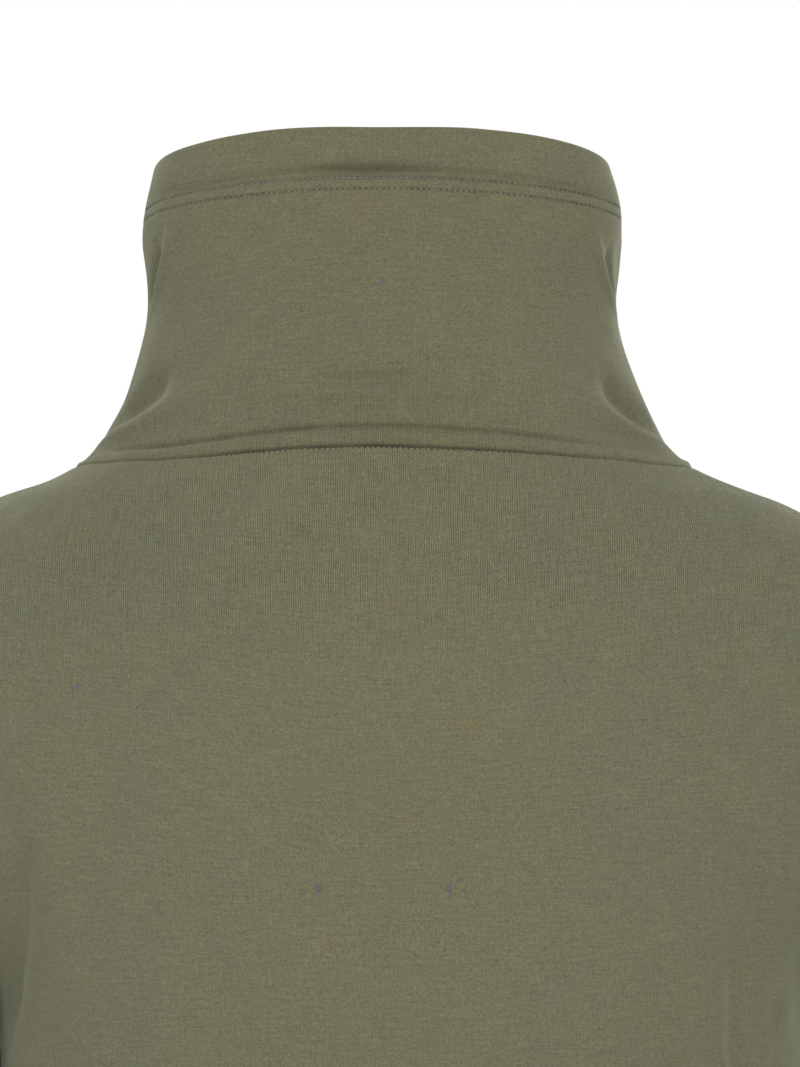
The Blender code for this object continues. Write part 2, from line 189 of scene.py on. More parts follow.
TORSO_FOLDS = (
    Fold(((72, 0.250), (46, 0.400)), 0.020, -0.0060),
    Fold(((-70, 0.245), (-52, 0.430)), 0.022, -0.0055),
    Fold(((58, 0.330), (50, 0.640)), 0.028, 0.0055),
    Fold(((-44, 0.420), (-40, 0.650)), 0.026, 0.0060),
    Fold(((18, 0.480), (14, 0.650)), 0.024, -0.0045),
    Fold(((-12, 0.520), (-16, 0.650)), 0.022, -0.0040),
    Fold(((112, 0.240), (140, 0.360)), 0.022, -0.0065),
    Fold(((-113, 0.235), (-136, 0.350)), 0.020, -0.0060),
    Fold(((128, 0.380), (134, 0.650)), 0.028, 0.0060),
    Fold(((-130, 0.330), (-140, 0.645)), 0.026, 0.0055),
    Fold(((166, 0.440), (160, 0.650)), 0.024, -0.0050),
    Fold(((-164, 0.400), (-168, 0.650)), 0.026, -0.0045),
    # slack that runs in from the underarms, and above the hem at the sides
    Fold(((118, 0.205), (134, 0.232), (152, 0.246)), 0.012, -0.0038),
    Fold(((121, 0.262), (140, 0.300), (158, 0.312)), 0.013, -0.0034),
    Fold(((-119, 0.212), (-137, 0.246), (-150, 0.252)), 0.012, -0.0036),
    Fold(((-122, 0.286), (-138, 0.314), (-149, 0.317)), 0.011, -0.0030),
    Fold(((172, 0.300), (186, 0.345), (201, 0.352)), 0.016, -0.0026),
    Fold(((104, 0.470), (122, 0.505), (141, 0.498)), 0.014, -0.0042),
    Fold(((-101, 0.455), (-118, 0.492), (-139, 0.486)), 0.015, -0.0044),
    Fold(((98, 0.540), (112, 0.566), (132, 0.571)), 0.012, -0.0036),
    Fold(((-98, 0.535), (-115, 0.556), (-128, 0.560)), 0.012, -0.0034),
    # the upper back, as it shows
    Fold(((-2, 0.0112), (14, 0.0108), (32, 0.0119)), 0.0017, -0.00045),
    Fold(((-9, 0.0142), (2, 0.0130), (16, 0.0138)), 0.0042, -0.00150, 0.45),
    Fold(((-40, 0.0130), (-26, 0.0120), (-14, 0.0125)), 0.0022, -0.00020),
    Fold(((-64.7, 0.165), (-63.6, 0.1966), (-68, 0.228), (-76, 0.262), (-84, 0.300)), 0.0080, -0.0048),
    Fold(((-57, 0.170), (-56, 0.205), (-60, 0.240), (-67, 0.290)), 0.013, 0.0022),
    Fold(((55.5, 0.140), (57.8, 0.183), (60.3, 0.206), (64.0, 0.231), (69, 0.247)), 0.0090, -0.0040),
    Fold(((62, 0.150), (64.5, 0.190), (67, 0.218)), 0.009, 0.0018),
    Fold(((59.3, 0.218), (61.0, 0.255), (62.3, 0.290), (62.5, 0.335)), 0.0070, -0.0034),
    Fold(((66, 0.250), (67, 0.290), (66, 0.345)), 0.009, 0.0020),
    # from the armholes and down the sides
    Fold(((-91, 0.245), (-90, 0.285), (-89, 0.345)), 0.014, 0.0030),
    Fold(((91, 0.250), (90, 0.290), (89, 0.350)), 0.014, 0.0022),
    Fold(((78, 0.262), (60, 0.296), (48, 0.345)), 0.0092, 0.0034),
    Fold(((84, 0.285), (72, 0.330), (64, 0.392)), 0.0083, -0.0033),
    Fold(((-79, 0.268), (-58, 0.322), (-50, 0.372)), 0.0092, 0.0036),
    Fold(((-86, 0.300), (-76, 0.352), (-70, 0.430)), 0.0074, -0.0029),
    Fold(((102, 0.262), (120, 0.300), (130, 0.352)), 0.0092, 0.0037),
    Fold(((96, 0.290), (108, 0.340), (114, 0.410)), 0.0083, -0.0029),
    Fold(((-101, 0.262), (-121, 0.292), (-138, 0.334)), 0.0101, 0.0033),
    Fold(((-95, 0.300), (-104, 0.362), (-112, 0.442)), 0.0074, -0.0031),
    Fold(((122, 0.118), (128, 0.165), (126, 0.212)), 0.0110, -0.0031),
    Fold(((-124, 0.105), (-130, 0.150), (-127, 0.205)), 0.0120, -0.0034),
    # the hang towards the hem
    Fold(((34, 0.400), (30, 0.520), (33, 0.648)), 0.0162, -0.0037),
    Fold(((-27, 0.450), (-30, 0.560), (-27, 0.648)), 0.0133, -0.0034),
    Fold(((74, 0.430), (77, 0.540), (73, 0.648)), 0.0152, -0.0041),
    Fold(((-66, 0.480), (-64, 0.570), (-67, 0.648)), 0.0142, -0.0044),
    Fold(((2, 0.560), (4, 0.648)), 0.0133, 0.0027),
    Fold(((98, 0.480), (104, 0.648)), 0.0142, -0.0037),
    Fold(((-98, 0.450), (-106, 0.560), (-103, 0.648)), 0.0152, -0.0044),
    Fold(((148, 0.470), (150, 0.560), (147, 0.648)), 0.0142, -0.0034),
    Fold(((-150, 0.500), (-153, 0.648)), 0.0133, -0.0031),
    Fold(((178, 0.500), (181, 0.580), (179, 0.648)), 0.0152, 0.0031),
    # under the front neck seam
    Fold(((168, 0.016), (180, 0.021), (193, 0.015)), 0.0030, -0.0007),
    Fold(((150, 0.030), (176, 0.046), (205, 0.034)), 0.0075, 0.0010),
)
COLLAR_FOLDS = (
    Fold(((62, -0.020), (34, -0.052)), 0.010, 0.0030),
    Fold(((-62, -0.020), (-34, -0.052)), 0.010, 0.0030),
    Fold(((140, -0.030), (215, -0.042)), 0.012, 0.0045),
    Fold(((150, -0.070), (200, -0.082)), 0.013, 0.0040),
    # above the stitched rows, where the turned edge stands proud
    Fold(((-78, -0.1312), (-60, -0.1302), (-26, -0.1318), (0, -0.1316), (37, -0.1310), (60, -0.1296),
          (78, -0.1308)), 0.0023, -0.00190, 0.15),
    Fold(((-36, -0.1316), (-16, -0.1320), (6, -0.1318), (26, -0.1314)), 0.0032, -0.00290, 0.40),
    Fold(((-86, -0.1405), (-40, -0.1404), (0, -0.1402), (44, -0.1404), (86, -0.1402)), 0.0062, 0.00110, 0.2),
    Fold(((100, -0.1310), (132, -0.1316), (170, -0.1312)), 0.0021, -0.00105),
    Fold(((182, -0.1318), (214, -0.1312), (258, -0.1308)), 0.0021, -0.00130),
    Fold(((96, -0.1405), (150, -0.1412), (210, -0.1409), (264, -0.1405)), 0.0062, 0.00110, 0.2),
    # the fold at each side, which hides a little of the cloth behind it
    Fold(((-63, -0.1190), (-67.5, -0.1130), (-70, -0.1040), (-73, -0.0950), (-78, -0.0845), (-87, -0.0730)),
         0.0038, 0.0020, 0.30),
    Fold(((-72, -0.1130), (-74.2, -0.1040), (-76.8, -0.0945), (-80.5, -0.0860), (-87, -0.0770)),
         0.0036, -0.0034, 0.40),
    Fold(((-88, -0.1260), (-89, -0.1080), (-92, -0.0900)), 0.0085, 0.0010, 0.45),
    Fold(((64, -0.1150), (68.4, -0.1085), (71.2, -0.0990), (75.0, -0.0905), (81, -0.0815), (89, -0.0730)),
         0.0038, 0.0019, 0.30),
    Fold(((73, -0.1100), (75.4, -0.1020), (78.0, -0.0935), (81.6, -0.0860), (87, -0.0780)),
         0.0036, -0.0032, 0.40),
    Fold(((88, -0.1250), (89, -0.1070), (92, -0.0890)), 0.0085, 0.0010, 0.45),
    # the flare onto the shoulders
    Fold(((-87, -0.0080), (-79, -0.0122), (-70.6, -0.0174), (-64.4, -0.0234), (-60.1, -0.0302),
          (-56, -0.0410)), 0.0064, 0.0038, 0.38),
    Fold(((-82, -0.0250), (-75, -0.0290), (-69, -0.0375), (-65, -0.0520)), 0.0075, -0.0056, 0.35),
    Fold(((-50, -0.0180), (-47, -0.0290), (-48, -0.0430)), 0.0075, -0.0016, 0.40),
    Fold(((87, -0.0074), (79, -0.0112), (71.2, -0.0155), (63.2, -0.0228), (59.2, -0.0310), (55, -0.0420)),
         0.0064, 0.0038, 0.38),
    Fold(((82, -0.0235), (75, -0.0268), (69, -0.0355), (64, -0.0490)), 0.0075, -0.0054, 0.35),
    Fold(((49, -0.0170), (46, -0.0280), (47, -0.0410)), 0.0070, -0.0015, 0.40),
    # low on the back
    Fold(((-27, -0.0342), (-2, -0.0329), (23, -0.0332)), 0.0046, -0.00330),
    Fold(((-46, -0.0250), (-25, -0.0232), (0, -0.0219), (23, -0.0231), (44, -0.0245)), 0.0036, -0.00230),
    Fold(((-40, -0.0290), (0, -0.0275), (38, -0.0288)), 0.0036, 0.00080),
    Fold(((-38, -0.0560), (-15, -0.0500), (8, -0.0515)), 0.0070, 0.00060),
    # the small ledge at each end of the neck seam
    Fold(((-99, -0.0030), (-91, -0.0032), (-82, -0.0034)), 0.0026, 0.0015, 0.35),
    Fold(((99, -0.0030), (91, -0.0031), (82, -0.0033)), 0.0026, 0.0014, 0.35),
    # the roll over the seam's cloth, and the dip where that cloth ends inside
    Fold(((-80, -0.0034), (-40, -0.0040), (0, -0.0040), (40, -0.0040), (80, -0.0034)), 0.0026, 0.00075, 0.15),
    Fold(((-76, -0.0060), (-58, -0.0079), (-36, -0.0094), (-13, -0.0093), (17, -0.0094), (40, -0.0094),
          (72, -0.0064)), 0.0015, -0.00210, 0.16),
    Fold(((-34, -0.0096), (-26, -0.0097), (-16, -0.0095)), 0.0014, -0.00050, 0.45),
    Fold(((98, -0.0036), (140, -0.0042), (180, -0.0040), (222, -0.0042), (262, -0.0036)),
         0.0026, 0.00075, 0.15),
    Fold(((106, -0.0072), (150, -0.0094), (178, -0.0092)), 0.0018, -0.00135),
    Fold(((182, -0.0091), (214, -0.0096), (254, -0.0070)), 0.0018, -0.00155),
    # the front and its slack
    Fold(((120, -0.0420), (152, -0.0520), (186, -0.0530)), 0.0070, -0.0017),
    Fold(((172, -0.0560), (208, -0.0600), (236, -0.0500)), 0.0075, -0.0016),
    Fold(((138, -0.0980), (170, -0.1010), (198, -0.0970)), 0.0080, -0.0013),
    Fold(((112, -0.0200), (126, -0.0290), (134, -0.0430)), 0.0060, 0.0018),
    Fold(((248, -0.0190), (235, -0.0280), (228, -0.0420)), 0.0060, 0.0019),
)
SLEEVE_FOLDS = (
    Fold(((250, 0.100), (205, 0.210)), 0.016, -0.0060),
    Fold(((110, 0.110), (150, 0.220)), 0.015, -0.0055),
    Fold(((230, 0.285), (300, 0.250)), 0.012, -0.0055),
    Fold(((200, 0.330), (290, 0.325)), 0.013, -0.0050),
    Fold(((120, 0.340), (60, 0.310)), 0.014, 0.0045),
    Fold(((210, 0.420), (130, 0.440)), 0.013, -0.0040),
    Fold(((330, 0.470), (240, 0.450)), 0.012, -0.0040),
)
RIGHT_SLEEVE_CREASES = (
    Fold(((84, 0.130), (58, 0.196), (52, 0.262)), 0.0090, -0.0039),
    Fold(((140, 0.262), (98, 0.292), (64, 0.288)), 0.0067, -0.0041),
    Fold(((150, 0.300), (104, 0.318), (62, 0.338)), 0.0063, -0.0035),
    Fold(((128, 0.374), (84, 0.392), (50, 0.378)), 0.0072, 0.0037),
    Fold(((152, 0.402), (98, 0.424), (70, 0.446)), 0.0063, -0.0033),
    Fold(((40, 0.470), (92, 0.492), (142, 0.480)), 0.0063, 0.0033),
    Fold(((20, 0.506), (70, 0.518), (120, 0.508)), 0.0054, -0.0030),
    Fold(((252, 0.300), (292, 0.306), (330, 0.282)), 0.0072, 0.0041),
    Fold(((236, 0.372), (286, 0.388), (330, 0.380)), 0.0067, -0.0033),
    Fold(((224, 0.500), (280, 0.508), (334, 0.494)), 0.0063, -0.0031),
)
LEFT_SLEEVE_CREASES = (
    Fold(((88, 0.146), (66, 0.208), (60, 0.284)), 0.0099, -0.0041),
    Fold(((146, 0.276), (106, 0.300), (72, 0.306)), 0.0072, -0.0039),
    Fold(((138, 0.330), (96, 0.352), (58, 0.348)), 0.0063, -0.0037),
    Fold(((120, 0.396), (80, 0.406), (44, 0.392)), 0.0072, 0.0035),
    Fold(((156, 0.428), (110, 0.452), (76, 0.462)), 0.0063, -0.0035),
    Fold(((36, 0.486), (88, 0.502), (138, 0.496)), 0.0059, -0.0030),
    Fold(((248, 0.312), (288, 0.320), (322, 0.300)), 0.0072, 0.0037),
    Fold(((232, 0.388), (282, 0.404), (326, 0.398)), 0.0067, -0.0035),
    Fold(((228, 0.482), (284, 0.494), (330, 0.486)), 0.0063, -0.0030),
)

# ---- Reading the tables ----------------------------------------------------------------------------


def unit(vectors: Points) -> Points:
    """The same directions at length one."""
    return vectors / np.linalg.norm(vectors, axis=-1, keepdims=True)


def smooth_step(share: Values) -> Values:
    """Ease a share from 0 to 1."""
    share = np.clip(share, 0, 1)
    return share * share * (3 - 2 * share)


def lengths_along(points: Points) -> Values:
    """The distance along a line at each of its points."""
    steps = np.linalg.norm(np.diff(points, axis=0), axis=-1)
    return np.concatenate([[0.0], np.cumsum(steps)])


def smooth_between(knots: Sequence[float], values: Points, at: Values) -> Points:
    """Read a smooth curve through values.

    Args:
        knots: rising places that the values stand at.
        values: one value, or array of values, for each knot.
        at: places to read.

    Returns:
        The value at each place.
    """
    knots = np.asarray(knots, float)
    values = np.asarray(values, float)
    steps = np.diff(knots)
    wide = steps.reshape((-1,) + (1,) * (values.ndim - 1))
    slopes = np.diff(values, axis=0) / wide
    tangents = np.empty_like(values)
    tangents[1:-1] = (wide[1:] * slopes[:-1] + wide[:-1] * slopes[1:]) / (wide[:-1] + wide[1:])
    tangents[0] = (3 * slopes[0] - tangents[1]) / 2
    tangents[-1] = (3 * slopes[-1] - tangents[-2]) / 2
    at = np.clip(np.asarray(at, float), knots[0], knots[-1])
    index = np.clip(np.searchsorted(knots, at, side="right") - 1, 0, len(steps) - 1)
    share = (at - knots[index]) / steps[index]
    share = share.reshape(share.shape + (1,) * (values.ndim - 1))
    step = steps[index].reshape(share.shape)
    rest = 1 - share
    return (
        rest**2 * (1 + 2 * share) * values[index]
        + share**2 * (3 - 2 * share) * values[index + 1]
        + share * rest**2 * step * tangents[index]
        - share**2 * rest * step * tangents[index + 1]
    )


@dataclass(frozen=True)
class RingShell:
    """The smooth surface through the rings of the torso or of the collar."""

    rings: tuple[Ring, ...]

    def points(self, drop: Values, angle: Values) -> Points:
        """Find points on the shell.

        Args:
            drop: distances down the centre back, negative on the collar.
            angle: radians from the centre back towards the wearer's right.

        Returns:
            A point for each drop and angle.
        """
        table = np.array(sorted(self.rings))
        drop, angle = np.broadcast_arrays(drop, angle)
        level = Ring(*np.moveaxis(smooth_between(table[:, 0], table, drop), -1, 0))
        sine, cosine = np.sin(angle), np.cos(angle)
        depth = np.where(cosine > 0, level.side_y - level.back_y, level.front_y - level.side_y)
        across = np.abs(sine) / level.half_width
        along = np.abs(cosine) / depth
        radius = (across**level.square + along**level.square) ** (-1 / level.square)
        centre_z = np.where(cosine > 0, level.back_z, level.front_z)
        lift = np.abs(cosine) ** np.where(cosine > 0, level.back_crown, level.front_crown)
        rise = np.where(cosine > 0, level.corner_rise, 0.0) * np.sin(2 * angle) ** 2
        height = level.side_z + (centre_z - level.side_z) * lift + rise
        return np.stack([radius * sine, level.side_y - radius * cosine, height], axis=-1)

    def outward(self, drop: Values, angle: Values) -> Points:
        """Find which way the shell faces.

        Args:
            drop: distances down the centre back, negative on the collar.
            angle: radians from the centre back towards the wearer's right.

        Returns:
            A unit direction for each drop and angle.
        """
        column = self.points(drop, angle + SMALL_TURN) - self.points(drop, angle - SMALL_TURN)
        row = self.points(drop - SMALL, angle) - self.points(drop + SMALL, angle)
        return unit(np.cross(column, row))


@dataclass(frozen=True)
class SleeveShell:
    """The smooth surface of the wearer's right sleeve, from its armhole to its cuff."""

    torso: RingShell
    rings: tuple[SleeveRing, ...]

    def armhole_place(self, turn: Values, scale: float = 1.0) -> tuple[Values, Values]:
        """Find the armhole on the torso.

        Args:
            turn: radians from the shoulder tip towards the back.
            scale: the size of the loop, 1 on the armhole itself.

        Returns:
            The torso's drop and its angle at each turn.
        """
        middle = (UNDERARM_DROP + SHOULDER_TIP_DROP) / 2
        half = (UNDERARM_DROP - SHOULDER_TIP_DROP) / 2
        return middle - scale * half * np.cos(turn), QUARTER - scale * ARMHOLE_SPREAD * np.sin(turn)

    def lead(self, turn: Values) -> Points:
        """Points behind the armhole that the sleeve's first direction comes from.

        Args:
            turn: radians from the shoulder tip towards the back.

        Returns:
            A point for each turn.
        """
        half = (UNDERARM_DROP - SHOULDER_TIP_DROP) / 2
        over = self.torso.points(*self.armhole_place(turn, 1 + ARMHOLE_LEAD / half))
        under = self.torso.points(*self.armhole_place(turn)) - (ARMHOLE_LEAD, 0.0, 0.0)
        return over + (under - over) * ((1 - np.cos(turn)) / 2)[:, None] ** 2

    def ring(self, ring: SleeveRing, turn: Values) -> Points:
        """Find points of one ring.

        Args:
            ring: the ring's sizes.
            turn: radians from the outer line towards the back.

        Returns:
            A point for each turn.
        """
        outer = np.array([ring.outer_x, ring.centre_y, ring.outer_z])
        inner = np.array([ring.inner_x, ring.centre_y, ring.inner_z])
        back = np.array([0.0, -ring.half_depth, 0.0])
        turn = turn[:, None]
        return (outer + inner) / 2 + (outer - inner) / 2 * np.cos(turn) + back * np.sin(turn)

    def points(self, station: Values, turn: Values) -> Points:
        """Find points on the sleeve.

        Args:
            station: distances down the sleeve.
            turn: radians from the outer line towards the back.

        Returns:
            A row for each station, with a column for each turn.
        """
        turn = np.asarray(turn, float)
        stations = [-ARMHOLE_LEAD, 0.0] + [ring.station for ring in self.rings]
        rings = [self.lead(turn), self.torso.points(*self.armhole_place(turn))]
        rings += [self.ring(ring, turn) for ring in self.rings]
        return smooth_between(stations, np.array(rings), station)

    def outward(self, station: Values, turn: Values) -> Points:
        """Find which way the sleeve faces.

        Args:
            station: distances down the sleeve.
            turn: radians from the outer line towards the back.

        Returns:
            Unit directions, in a row for each station with a column for each turn.
        """
        station, turn = np.asarray(station, float), np.asarray(turn, float)
        column = self.points(station, turn - SMALL_TURN) - self.points(station, turn + SMALL_TURN)
        row = self.points(station - SMALL, turn) - self.points(station + SMALL, turn)
        return unit(np.cross(column, row))


# ---- Seams -----------------------------------------------------------------------------------------


@dataclass
class SeamLine:
    """A sewn line on the form, with the outward direction that the cloth on both sides shares."""

    name: str
    points: Points
    outward: Points
    depth: float = 0.0007
    width: float = 0.0016


@dataclass
class SeamMap:
    """Finds the nearest seam of a cut piece."""

    lines: list[SeamLine]
    reach: float = 0.015

    def __post_init__(self) -> None:
        """Gather the points of every line in one search tree."""
        self.points = np.concatenate([line.points for line in self.lines])
        self.outward = np.concatenate([line.outward for line in self.lines])
        self.along = np.concatenate([lengths_along(line.points) for line in self.lines])
        self.depth = np.concatenate([np.full(len(line.points), line.depth) for line in self.lines])
        self.width = np.concatenate([np.full(len(line.points), line.width) for line in self.lines])
        self.tree = KDTree(len(self.points))
        for index, point in enumerate(self.points):
            self.tree.insert(point, index)
        self.tree.balance()

    def nearest(self, points: Points) -> tuple[Indices, Values]:
        """The nearest seam point to each point.

        Args:
            points: points on the cloth.

        Returns:
            The index of the nearest seam point, and the distance to it.
        """
        flat = points.reshape(-1, 3)
        found = [self.tree.find(point) for point in flat]
        index = np.array([hit[1] for hit in found]).reshape(points.shape[:-1])
        distance = np.array([hit[2] for hit in found]).reshape(points.shape[:-1])
        return index, distance


# ---- The form with its folds -----------------------------------------------------------------------


@dataclass(frozen=True)
class Ripple:
    """A faint unevenness of hung cloth: a fixed set of long waves through space."""

    seed: int = 11
    waves: int = 18
    shortest: float = 0.022
    longest: float = 0.090
    height: float = 0.00028

    def lift(self, points: Points) -> Values:
        """Find how far the cloth is lifted.

        Args:
            points: points on the cloth.

        Returns:
            A height for each point.
        """
        chance = np.random.default_rng(self.seed)
        total = np.zeros(points.shape[:-1])
        for _ in range(self.waves):
            way = unit(chance.normal(size=3))
            length = math.exp(chance.uniform(math.log(self.shortest), math.log(self.longest)))
            share = length / self.longest
            total += share * np.sin(points @ (way * math.tau / length) + chance.uniform(0, math.tau))
        return total * self.height


class Side(Enum):
    """A side of the wearer, by the sign of its X."""

    RIGHT = 1
    LEFT = -1

    @property
    def tag(self) -> str:
        """The side's word in names."""
        return self.name.lower()

    @property
    def mirror(self) -> tuple[int, int, int]:
        """What points of the wearer's right side are multiplied by."""
        return self.value, 1, 1


@dataclass
class Form:
    """The garment's filled-out form: its shells, its seams and its folds."""

    torso: RingShell = RingShell(TORSO)
    collar: RingShell = RingShell(COLLAR)
    ripple: Ripple = Ripple()
    fold_steps: int = 20
    fold_reach: float = 3.2
    neck_steps: int = 1200
    armhole_steps: int = 600
    underarm_steps: int = 560
    side_steps: int = 405
    shoulder_steps: int = 62
    collar_side_steps: int = 151

    def __post_init__(self) -> None:
        """Set out the sleeve, the fold paths and the seams."""
        self.sleeve = SleeveShell(self.torso, SLEEVE)
        self.folds = list(self._fold_paths())
        self.seams = self._seam_lines()

    def _fold_paths(self) -> Iterable[tuple[Fold, Points]]:
        """Lay every fold on its shell.

        Returns:
            Pairs of a fold and its path's points.
        """
        for shell, folds in ((self.torso, TORSO_FOLDS), (self.collar, COLLAR_FOLDS)):
            for fold in folds:
                angle, drop = self._spread(fold)
                yield fold, shell.points(drop, np.radians(angle))
        shared = [(fold, side) for fold in SLEEVE_FOLDS for side in Side]
        shared += [(fold, Side.RIGHT) for fold in RIGHT_SLEEVE_CREASES]
        shared += [(fold, Side.LEFT) for fold in LEFT_SLEEVE_CREASES]
        for fold, side in shared:
            turn, station = self._spread(fold)
            path = [self.sleeve.points([s], [t])[0, 0] for s, t in zip(station, np.radians(turn))]
            yield fold, np.array(path) * side.mirror

    def _spread(self, fold: Fold) -> tuple[Values, Values]:
        """Places evenly along a fold's path.

        Args:
            fold: the fold.

        Returns:
            The places' first and second numbers.
        """
        places = np.array(fold.places, float)
        knots = np.linspace(0, 1, len(places))
        share = np.linspace(0, 1, self.fold_steps + 1)
        return np.interp(share, knots, places[:, 0]), np.interp(share, knots, places[:, 1])

    def _seam_lines(self) -> dict[str, SeamLine]:
        """Lay every sewn line on the form.

        Returns:
            The lines by name.
        """
        angle = np.linspace(-QUARTER, math.tau - QUARTER, self.neck_steps + 1)
        under, over = np.full(len(angle), PAST), np.full(len(angle), -PAST)
        both = self.torso.outward(under, angle) + self.collar.outward(over, angle)
        lines = [SeamLine("neck", self.torso.points(0.0, angle), unit(both), depth=0.0010, width=0.0011)]
        turn = np.linspace(math.pi, 3 * math.pi, self.armhole_steps + 1)
        place = self.sleeve.armhole_place(turn)
        armhole = self.torso.points(*place)
        both = unit(self.torso.outward(*place) + self.sleeve.outward([PAST], turn)[0])
        station = np.linspace(0, CUFF_STATION, self.underarm_steps + 1)
        inner = self.sleeve.points(station, [math.pi])[:, 0]
        inner_out = self.sleeve.outward(station, [math.pi])[:, 0]
        spans = (
            ("side", self.torso, np.linspace(UNDERARM_DROP, HEM_DROP, self.side_steps + 1)),
            ("shoulder", self.torso, np.linspace(0, SHOULDER_TIP_DROP, self.shoulder_steps + 1)),
            ("collar_side", self.collar, np.linspace(RIM_DROP, 0, self.collar_side_steps + 1)),
        )
        for side in Side:
            places = armhole * side.mirror, both * side.mirror
            lines.append(SeamLine(f"armhole_{side.tag}", *places, depth=0.0009, width=0.0017))
            lines.append(SeamLine(f"underarm_{side.tag}", inner * side.mirror, inner_out * side.mirror))
            for name, shell, drop in spans:
                at = np.full(len(drop), side.value * QUARTER)
                lines.append(SeamLine(f"{name}_{side.tag}", shell.points(drop, at), shell.outward(drop, at)))
        return {line.name: line for line in lines}

    def seams_named(self, *names: str) -> SeamMap:
        """The search map for the seams whose names start with one of the given words."""
        return SeamMap([line for name, line in self.seams.items() if name.startswith(names)])

    def fold_lift(self, points: Points) -> Values:
        """Find how far the folds and the ripple lift the cloth.

        Args:
            points: points on the smooth form.

        Returns:
            A height for each point.
        """
        lift = self.ripple.lift(points)
        for fold, path in self.folds:
            margin = self.fold_reach * fold.width
            low, high = path.min(axis=0) - margin, path.max(axis=0) + margin
            near = np.all((points > low) & (points < high), axis=-1)
            if near.any():
                lift[near] += self._one_fold(points[near], path, fold)
        return lift

    def _one_fold(self, points: Points, path: Points, fold: Fold) -> Values:
        """Find how far one fold lifts the cloth near it.

        Args:
            points: points near the fold.
            path: the points that the fold runs through.
            fold: the fold's sizes.

        Returns:
            A height for each point.
        """
        starts, spans = path[:-1], np.diff(path, axis=0)
        offset = points[:, None, :] - starts
        along = np.clip((offset * spans).sum(-1) / (spans**2).sum(-1), 0, 1)
        distance = np.linalg.norm(offset - along[..., None] * spans, axis=-1)
        nearest = distance.argmin(axis=-1)[:, None]
        share = np.take_along_axis(along + np.arange(len(spans)), nearest, -1)[:, 0] / len(spans)
        fade = smooth_step(np.minimum(share, 1 - share) / fold.fade)
        close = np.take_along_axis(distance, nearest, -1)[:, 0] / fold.width
        return fold.height * fade * np.exp(-(close**2))

    def shaped(
        self, points: Points, outward: Points, seams: SeamMap
    ) -> tuple[Points, Points, Values, Values]:
        """Put the folds, the seams and the lean into smooth points.

        Args:
            points: points on a smooth shell.
            outward: the shell's outward directions there.
            seams: the seams round the cut piece.

        Returns:
            The shaped points, their outward directions, and for each the distance along and from its seam.
        """
        index, distance = seams.nearest(points)
        share = smooth_step(1 - distance / seams.reach)[..., None]
        outward = unit(outward * (1 - share) + seams.outward[index] * share)
        lift = self.fold_lift(points)
        lift -= seams.depth[index] * np.exp(-((distance / seams.width[index]) ** 2))
        return leaning(points + outward * lift[..., None]), outward, seams.along[index], distance


def leaning(points: Points) -> Points:
    """The same points moved by the garment's lean."""
    share = smooth_step((LEAN_TOP_Z - points[..., 2]) / (LEAN_TOP_Z - LEAN_FULL_Z))
    return points + LEAN * share[..., None] * (1, 0, 0)


# ---- Walls of cloth --------------------------------------------------------------------------------


@dataclass(frozen=True)
class FreeEdge:
    """A turned and stitched edge: the rows near it are thicker, and round over at its end."""

    thickness: float = TURNED_CLOTH
    depth: float = TURNED_DEPTH
    step: float = TURNED_STEP
    lip_turns: tuple[float, ...] = (6, 26, 46, 68, 90)
    lip_rows: tuple[float, ...] = (0.0042, 0.0065, 0.0120)
    row_sides: tuple[float, ...] = (-0.0012, 0.0, 0.0012)

    def levels(self) -> Values:
        """Distances from the edge where the wall needs a row of its own.

        Returns:
            The distances, from the edge inwards.
        """
        lip = self.thickness / 2 * (1 - np.cos(np.radians(self.lip_turns)))
        rows = [row + offset for row in TWIN_ROWS for offset in self.row_sides]
        return np.concatenate([lip, self.lip_rows, rows, [self.depth, self.depth + self.step]])

    def wall(self, distance: Values) -> tuple[Values, Values]:
        """Find how deep the two faces lie under the form.

        Args:
            distance: distances from the turned edge.

        Returns:
            The depth of the outer face and of the inner one.
        """
        radius = self.thickness / 2
        short = np.clip(radius - distance, 0, radius * ALMOST)
        sunk = radius - np.sqrt(radius**2 - short**2)
        whole = CLOTH + (self.thickness - CLOTH) * smooth_step(1 - (distance - self.depth) / self.step)
        return sunk, whole - sunk


def placed(name: str, data: bpy.types.ID) -> bpy.types.Object:
    """Put a mesh, a light or a camera into the scene.

    Args:
        name: the new object's name.
        data: what it shows.

    Returns:
        The object, at the origin.
    """
    piece = bpy.data.objects.new(name, data)
    bpy.context.scene.collection.objects.link(piece)
    return piece


